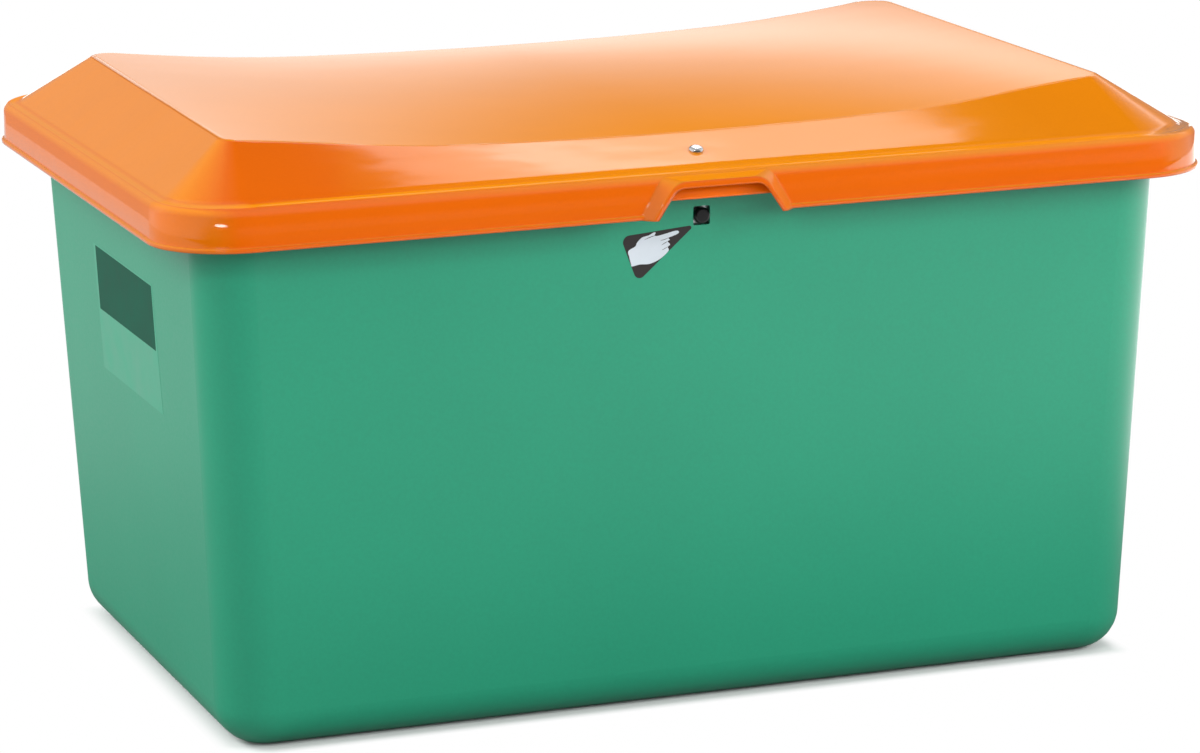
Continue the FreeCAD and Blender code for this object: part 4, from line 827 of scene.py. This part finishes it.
# %% Zinc-coated steel
CRYSTAL_TONE = (0.78, 1.08)
CRYSTAL_ROUGHNESS = (0.32, 0.48)
ZINC_GRAIN_SCALE = 700.0
ZINC_GRAIN_HEIGHT = 0.00003
ZINC_GREENER = 1.01
ZINC_BLUER = 1.03


def zinc_finish(name, cell_scale, grey):
    material, tree, shader, place, facing = start_finish(name)
    cells = add_node(tree, "ShaderNodeTexVoronoi", {"Vector": place, "Scale": cell_scale})
    crystal = add_node(tree, "ShaderNodeSeparateColor", {0: cells.outputs["Color"]}).outputs
    clouds = place_group(tree, clouding, {"Place": place, "Cloud Scale": 25.0, "Speck Scale": 900.0})
    tone = stretch_range(tree, crystal["Red"], 0.0, 1.0, *CRYSTAL_TONE)
    tone = cloudy(tree, clouds, tone, clouding=0.07)
    roughness = stretch_range(tree, crystal["Green"], 0.0, 1.0, *CRYSTAL_ROUGHNESS)
    roughness = cloudy(tree, clouds, roughness, specks=0.04)
    grain = noise(tree, place, ZINC_GRAIN_SCALE, detail=1.0)
    relief = raised(tree, grain, ZINC_GRAIN_HEIGHT, strength=0.4)
    bluish_grey = (grey, grey * ZINC_GREENER, grey * ZINC_BLUER, 1)
    feed(tree, shader, {"Base Color": shade(tree, bluish_grey, tone), "Metallic": 1.0})
    feed(tree, shader, {"Roughness": roughness, "Normal": relief})
    print("finish", name, "with", len(tree.nodes), "nodes")
    return material


zinc_sheet = zinc_finish("zinc_sheet", cell_scale=140.0, grey=0.62)
zinc_fasteners = zinc_finish("zinc_fasteners", cell_scale=520.0, grey=0.66)

# %% [markdown]
# ### Bright steel
# The dome bolt on the lid and the hinge pins are polished stainless steel, and the spring and the
# clips are bright spring steel. Polishing leaves faint marks. An anisotropic shader could stretch
# the highlight, but on such small parts the marks themselves show, so a squeezed noise varies the
# tone and the gloss.

# %% Bright steel
STEEL_GREY = (0.72, 0.72, 0.73, 1)
POLISH_SCALE = 500.0
POLISH_SQUEEZE = 6.0
POLISH_MOST = (0.3, 0.7)
POLISH_TONE = (0.94, 1.03)
POLISH_SMOOTHER = 0.03
POLISH_ROUGHER = 0.05
STEEL_SCRATCH_ROUGHNESS = 0.12


def bright_finish(name, middle_roughness):
    material, tree, shader, place, facing = start_finish(name)
    squeezed = squeeze(tree, place, y=POLISH_SQUEEZE, z=POLISH_SQUEEZE)
    marks = noise(tree, squeezed, POLISH_SCALE, detail=1.0)
    hairs = place_group(tree, scratches, {"Place": place, "Scale": 220.0})["Scratch"]
    tone = stretch_range(tree, marks, *POLISH_MOST, *POLISH_TONE)
    between = (middle_roughness - POLISH_SMOOTHER, middle_roughness + POLISH_ROUGHER)
    roughness = stretch_range(tree, marks, *POLISH_MOST, *between)
    roughness = calculate(tree, "MULTIPLY_ADD", hairs, STEEL_SCRATCH_ROUGHNESS, roughness)
    feed(tree, shader, {"Base Color": shade(tree, STEEL_GREY, tone), "Metallic": 1.0})
    feed(tree, shader, {"Roughness": roughness})
    print("finish", name, "with", len(tree.nodes), "nodes")
    return material


polished_steel = bright_finish("polished_steel", middle_roughness=0.14)
spring_steel = bright_finish("spring_steel", middle_roughness=0.25)

# %% [markdown]
# ## Give the solids their finishes
# Each solid has one finish all over, so it is enough to put one material on each. The pieces that
# aren't listed are bent or flat zinc sheet.

# %% Give the solids their finishes
FINISHES = [
    (tub_finish, ["tub"]),
    (lid_finish, ["lid"]),
    (button_finish, ["push_button"]),
    (polished_steel, ["dome_bolt", "hinge_pin_left", "hinge_pin_right"]),
    (spring_steel, ["catch_spring", "stem_clip", "pin_clips"]),
    (zinc_fasteners, ["catch_washer", "catch_nut"]),
    (zinc_fasteners, ["tub_leaf_bolts", "tub_leaf_nuts", "lid_leaf_bolts", "lid_leaf_nuts"]),
]
finish_of = {name: finish for finish, names in FINISHES for name in names}
for name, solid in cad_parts.items():
    finish = finish_of.get(name, zinc_sheet)
    solid.data.materials.clear()
    solid.data.materials.append(finish)
    print(f"{name}: {finish.name}, {len(solid.data.polygons)} faces")

# %% [markdown]
# ## The catch spring
# The construction model has a plain square coil where the catch's spring sits. A real compression
# spring is a round wire whose first and last turns lie closed, so that it stands flat on the
# button's collar and on the stirrup's rear leg. Its points could be listed, but the winding
# follows a rule, so Geometry Nodes bend a straight line by it: once round for each turn, and
# forward by one wire's width in a closed turn and by the pitch in an open one.

# %% How the wire is wound
WIRE_POINTS = 240
SECTION_POINTS = 12
CLOSED_TURNS = 1.0

winding = bpy.data.node_groups.new("wound_spring", "GeometryNodeTree")
winding.interface.new_socket("Geometry", in_out="OUTPUT", socket_type="NodeSocketGeometry")
for label in ("Length", "Coil Radius", "Wire Radius", "Turns"):
    winding.interface.new_socket(label, in_out="INPUT", socket_type="NodeSocketFloat")
sizes = winding.nodes.new("NodeGroupInput").outputs
wire_width = calculate(winding, "MULTIPLY", sizes["Wire Radius"], 2.0)
open_turns = calculate(winding, "SUBTRACT", sizes["Turns"], 2 * CLOSED_TURNS)
closed_widths = 2 * CLOSED_TURNS + 1
open_length = calculate(winding, "MULTIPLY_ADD", wire_width, -closed_widths, sizes["Length"])
pitch = calculate(winding, "DIVIDE", open_length, open_turns)
share = add_node(winding, "GeometryNodeSplineParameter").outputs["Factor"]
turns_done = calculate(winding, "MULTIPLY", share, sizes["Turns"])
past_closed = calculate(winding, "SUBTRACT", turns_done, CLOSED_TURNS)
open_done = calculate(winding, "MAXIMUM", past_closed, 0.0)
open_done = calculate(winding, "MINIMUM", open_done, open_turns)
closed_done = calculate(winding, "SUBTRACT", turns_done, open_done)
along = calculate(winding, "MULTIPLY_ADD", closed_done, wire_width, sizes["Wire Radius"])
along = calculate(winding, "MULTIPLY_ADD", open_done, pitch, along)
angle = calculate(winding, "MULTIPLY", turns_done, 2 * math.pi)
across = calculate(winding, "MULTIPLY", calculate(winding, "COSINE", angle), sizes["Coil Radius"])
upward = calculate(winding, "MULTIPLY", calculate(winding, "SINE", angle), sizes["Coil Radius"])
wound = add_node(winding, "ShaderNodeCombineXYZ", {"X": across, "Y": along, "Z": upward}).outputs[0]
print("a wire of", WIRE_POINTS, "points bends into the coil")

# %% [markdown]
# The line is given its round section after it is wound. The spring keeps the place and the length
# of the plain coil, which are read from the construction model.

# %% Put the wire in its place
spring_low, spring_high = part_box("catch_spring")
spring_front = round(spring_low.y, 4)
spring_rear = round(spring_high.y, 4)
spring_height = round((spring_low.z + spring_high.z) / 2, 4)

line = add_node(winding, "GeometryNodeCurvePrimitiveLine").outputs["Curve"]
inputs = {"Curve": line, "Count": WIRE_POINTS}
line = add_node(winding, "GeometryNodeResampleCurve", inputs).outputs["Curve"]
inputs = {"Geometry": line, "Position": wound}
wire = add_node(winding, "GeometryNodeSetPosition", inputs).outputs["Geometry"]
inputs = {"Resolution": SECTION_POINTS, "Radius": sizes["Wire Radius"]}
section = add_node(winding, "GeometryNodeCurvePrimitiveCircle", inputs).outputs["Curve"]
inputs = {"Curve": wire, "Profile Curve": section, "Fill Caps": True}
wire = add_node(winding, "GeometryNodeCurveToMesh", inputs).outputs["Mesh"]
inputs = {"Geometry": wire, "Translation": (0, spring_front, spring_height)}
wire = add_node(winding, "GeometryNodeTransform", inputs).outputs["Geometry"]
wire = add_node(winding, "GeometryNodeRealizeInstances", {"Geometry": wire}).outputs["Geometry"]
inputs = {"Geometry": wire, "Material": spring_steel}
wire = add_node(winding, "GeometryNodeSetMaterial", inputs).outputs["Geometry"]
feed(winding, winding.nodes.new("NodeGroupOutput"), {"Geometry": wire})
print("the spring runs from", spring_front, "to", spring_rear, "at height", spring_height)

# %% [markdown]
# The modifier makes the coil on an empty object. The finished mesh then gets an object of its own,
# which carries no modifier.

# %% Wind the spring
WIRE_RADIUS = 0.0006
SPRING_TURNS = 6.0

free_length = spring_rear - spring_front
coil_radius = round((spring_high.x - spring_low.x) / 2 - WIRE_RADIUS, 4)
maker = bpy.data.objects.new("spring_maker", bpy.data.meshes.new("spring_maker"))
bpy.context.scene.collection.objects.link(maker)
winder = maker.modifiers.new("wound_spring", "NODES")
winder.node_group = winding
values = {
    "Length": free_length,
    "Coil Radius": coil_radius,
    "Wire Radius": WIRE_RADIUS,
    "Turns": SPRING_TURNS,
}
for socket in winding.interface.items_tree:
    if socket.in_out == "INPUT":
        winder[socket.identifier] = values[socket.name]
evaluated = maker.evaluated_get(bpy.context.evaluated_depsgraph_get())
wire_spring = bpy.data.objects.new("wire_spring", bpy.data.meshes.new_from_object(evaluated))
bpy.data.objects.remove(maker)
bpy.context.scene.collection.objects.link(wire_spring)
wire_spring.data.polygons.foreach_set("use_smooth", [True] * len(wire_spring.data.polygons))
print("wire spring:", len(wire_spring.data.polygons), "faces")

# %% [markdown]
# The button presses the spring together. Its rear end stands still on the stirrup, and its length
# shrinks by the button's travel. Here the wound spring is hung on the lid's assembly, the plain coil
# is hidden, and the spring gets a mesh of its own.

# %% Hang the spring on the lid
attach(wire_spring, "lid_assembly")
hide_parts("catch_spring")
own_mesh(wire_spring)

# %% [markdown]
# ## Things stuck on the tub
# Two printed films are stuck on the tub. A print could be painted into the tub's material, but a
# film has an edge that catches the light and a gloss of its own, so each is a thin slab cut to an
# outline and laid just clear of the wall. The walls lean, so a wall is described by its foot line
# and how far it leans out.

# %% Laying a film on a wall
FILM_THICK = 0.00018
FILM_LIFT = 0.00004
FRONT_LEAN = 0.05768
SIDE_LEAN = 0.04066


def on_front(across, up, lift):
    """A point on the front wall, lifted off it."""
    out = Vector((0, -1, -FRONT_LEAN)).normalized()
    return Vector((across, -FRONT_FOOT - FRONT_LEAN * up, up)) + out * lift


def on_left(across, up, lift):
    """A point on the left wall. Across runs from the back to the front, as it is read."""
    out = Vector((-1, 0, -SIDE_LEAN)).normalized()
    return Vector((-SIDE_FOOT - SIDE_LEAN * up, -across, up)) + out * lift


def film(name, outline, wall, lift, thick, finish):
    """A thin closed slab with that outline on that wall."""
    mesh = bpy.data.meshes.new(name)
    shape = bmesh.new()
    lower = [shape.verts.new(wall(x, z, lift)) for x, z in outline]
    upper = [shape.verts.new(wall(x, z, lift + thick)) for x, z in outline]
    shape.faces.new(upper)
    shape.faces.new(list(reversed(lower)))
    for i in range(len(outline)):
        j = (i + 1) % len(outline)
        shape.faces.new((lower[i], lower[j], upper[j], upper[i]))
    bmesh.ops.recalc_face_normals(shape, faces=shape.faces)
    shape.to_mesh(mesh)
    shape.free()
    mesh.materials.append(finish)
    piece = bpy.data.objects.new(name, mesh)
    bpy.context.scene.collection.objects.link(piece)
    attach(piece, "bin")
    print(name, "has", len(outline), "points round its edge")


print("films are", FILM_THICK, "m thick")

# %% [markdown]
# An outline is drawn in two ways. Straight edges meet in small arcs, each worked out from its
# corner and radius. A free shape is a smooth curve through a few points, which needs far fewer of
# them than a chain of straight bits.

# %% Two kinds of outline
ARC_STEPS = 8
CURVE_STEPS = 6


def rounded_outline(corners, steps=ARC_STEPS):
    """Corners given as (x, z, radius), each turned into a short arc."""
    points = []
    for i, (x, z, radius) in enumerate(corners):
        here = Vector((x, z))
        before = (Vector(corners[i - 1][:2]) - here).normalized()
        after = (Vector(corners[(i + 1) % len(corners)][:2]) - here).normalized()
        half_angle = before.angle(after) / 2
        reach = radius / math.tan(half_angle)
        centre = here + (before + after).normalized() * radius / math.sin(half_angle)
        start = here + before * reach - centre
        finish = here + after * reach - centre
        sweep = start.angle_signed(finish)
        for step in range(steps + 1):
            turned = Matrix.Rotation(-sweep * step / steps, 2) @ start
            points.append(tuple(centre + turned))
    return points


def smooth_outline(points):
    """A closed curve through the points (Catmull-Rom)."""
    result = []
    for i in range(len(points)):
        a, b, c, d = (Vector(points[(i + k) % len(points)]) for k in (-1, 0, 1, 2))
        for step in range(CURVE_STEPS):
            t = step / CURVE_STEPS
            straight = 2 * b + (c - a) * t
            bend = (2 * a - 5 * b + 4 * c - d) * t**2
            twist = (3 * b - a - 3 * c + d) * t**3
            result.append(tuple(0.5 * (straight + bend + twist)))
    return result


print("an arc has", ARC_STEPS, "steps, and a smooth curve", CURVE_STEPS, "between two points")

# %% [markdown]
# ### Printed ink
# Ink on a film is a flat colour with a slight unevenness, duller or glossier than the wall round
# it. A plain colour would look cut out of paper, so it is clouded like the mouldings.

# %% Printed ink
INK_BLACK = (0.022, 0.017, 0.017, 1)
INK_PALE = (0.66, 0.72, 0.78, 1)
INK_GREEN = (0.014, 0.092, 0.058, 1)
FILM_GREEN = (0.035, 0.330, 0.195, 1)


def print_finish(name, colour, middle_roughness, spread, gloss=0.25):
    material, tree, shader, place, facing = start_finish(name)
    clouds = place_group(tree, clouding, {"Place": place, "Cloud Scale": 30.0, "Speck Scale": 1500.0})
    tone = cloudy(tree, clouds, 1.0, clouding=spread, specks=spread / 2)
    roughness = cloudy(tree, clouds, middle_roughness, clouding=0.04)
    feed(tree, shader, {"Base Color": shade(tree, colour, tone), "Roughness": roughness})
    feed(tree, shader, {"Specular IOR Level": gloss})
    print("finish", name, "with", len(tree.nodes), "nodes")
    return material


sign_black = print_finish("sign_black", INK_BLACK, middle_roughness=0.35, spread=0.15)
sign_pale = print_finish("sign_pale", INK_PALE, middle_roughness=0.40, spread=0.03)
label_green = print_finish("label_green", INK_GREEN, middle_roughness=0.65, spread=0.12, gloss=0.10)
clear_film = print_finish("clear_film", FILM_GREEN, middle_roughness=0.34, spread=0.05)

# %% [markdown]
# ### The hand sign
# A black triangle with a pale pointing hand shows where to press. The triangle's tip ends just
# below the button's hole. A hand could be put together from ovals, but its outline is what is
# read, so it is drawn as one smooth curve. It starts at the wrist and runs over the back of the
# hand, the thumb, the pointing finger, three folded fingers, the heel of the hand and the cuff.
# Four dark creases lie on the hand.

# %% The hand sign
TRIANGLE = [(-0.0925, 0.5352, 0.0075), (-0.0075, 0.5418, 0.0022), (-0.0728, 0.4835, 0.0065)]
HAND_BACK = [(-0.0833, 0.5190), (-0.0755, 0.5235), (-0.0735, 0.5275), (-0.0680, 0.5325), (-0.0600, 0.5345)]
THUMB = [(-0.0550, 0.5370), (-0.0525, 0.5366), (-0.0535, 0.5338)]
POINTING_FINGER = [(-0.0500, 0.5330), (-0.0400, 0.5350), (-0.0290, 0.5371), (-0.0258, 0.5352)]
POINTING_FINGER += [(-0.0285, 0.5330), (-0.0375, 0.5300)]
FOLDED_FINGERS = [(-0.0362, 0.5278), (-0.0385, 0.5258), (-0.0358, 0.5225), (-0.0385, 0.5198)]
FOLDED_FINGERS += [(-0.0372, 0.5165), (-0.0400, 0.5130)]
HAND_HEEL = [(-0.0480, 0.5070), (-0.0590, 0.5030), (-0.0700, 0.5032)]
CUFF = [(-0.0790, 0.5018), (-0.0802, 0.5045), (-0.0822, 0.5120)]
HAND = HAND_BACK + THUMB + POINTING_FINGER + FOLDED_FINGERS + HAND_HEEL + CUFF

film("sign_triangle", rounded_outline(TRIANGLE), on_front, FILM_LIFT, FILM_THICK, sign_black)
hand_lift = FILM_LIFT + FILM_THICK
hand_thick = FILM_THICK / 3
film("sign_hand", smooth_outline(HAND), on_front, hand_lift, hand_thick, sign_pale)

# %% Creases of the hand
CREASES = [
    [(-0.0470, 0.5275), (-0.0420, 0.5285), (-0.0375, 0.5300)],
    [(-0.0455, 0.5225), (-0.0420, 0.5245), (-0.0385, 0.5260)],
    [(-0.0450, 0.5170), (-0.0420, 0.5185), (-0.0385, 0.5200)],
    [(-0.0650, 0.5300), (-0.0600, 0.5318), (-0.0560, 0.5330), (-0.0530, 0.5335)],
]
CREASE_HALF = 0.00035
CREASE_END = 0.35


def crease_outline(points):
    """A thin strip that tapers to both ends along a line of points."""
    sides = ([], [])
    last = len(points) - 1
    for i, point in enumerate(points):
        along = (Vector(points[min(i + 1, last)]) - Vector(points[max(i - 1, 0)])).normalized()
        across = Vector((-along.y, along.x)) * CREASE_HALF * (1.0 if 0 < i < last else CREASE_END)
        sides[0].append(tuple(Vector(point) + across))
        sides[1].append(tuple(Vector(point) - across))
    return sides[0] + sides[1][::-1]


for number, points in enumerate(CREASES, start=1):
    outline = crease_outline(points)
    film(f"sign_crease_{number}", outline, on_front, hand_lift + hand_thick, FILM_THICK / 6, sign_black)

# %% [markdown]
# ### The side label
# On the left wall sits a clear film with a plain dark green block printed across its top. The film
# could be left out, as it is clear, but it shows as a slightly paler and smoother patch, so it is
# a film in the tub's own green with less roughness. The block lies on it as a second, thinner slab.

# %% The side label
LABEL_FILM = [(-0.114, 0.480), (-0.106, 0.337), (0.150, 0.337), (0.141, 0.480)]
LABEL_BLOCK = [(-0.1050, 0.4785), (-0.1035, 0.4057), (0.1390, 0.4057), (0.1380, 0.4776)]
FILM_ROUNDING = 0.002
BLOCK_ROUNDING = 0.0006
LABEL_ARC_STEPS = 4

film_outline = rounded_outline([(x, z, FILM_ROUNDING) for x, z in LABEL_FILM], LABEL_ARC_STEPS)
block_outline = rounded_outline([(x, z, BLOCK_ROUNDING) for x, z in LABEL_BLOCK], LABEL_ARC_STEPS)
film_thick = FILM_THICK / 2
film("label_film", film_outline, on_left, FILM_LIFT, film_thick, clear_film)
film("label_block", block_outline, on_left, FILM_LIFT + film_thick, FILM_THICK / 3, label_green)

# %% [markdown]
# ## Last settings
# The plain Standard view keeps a written colour as it is, where a filmic view would soften it.

# %% View
bpy.context.scene.view_settings.view_transform = "Standard"
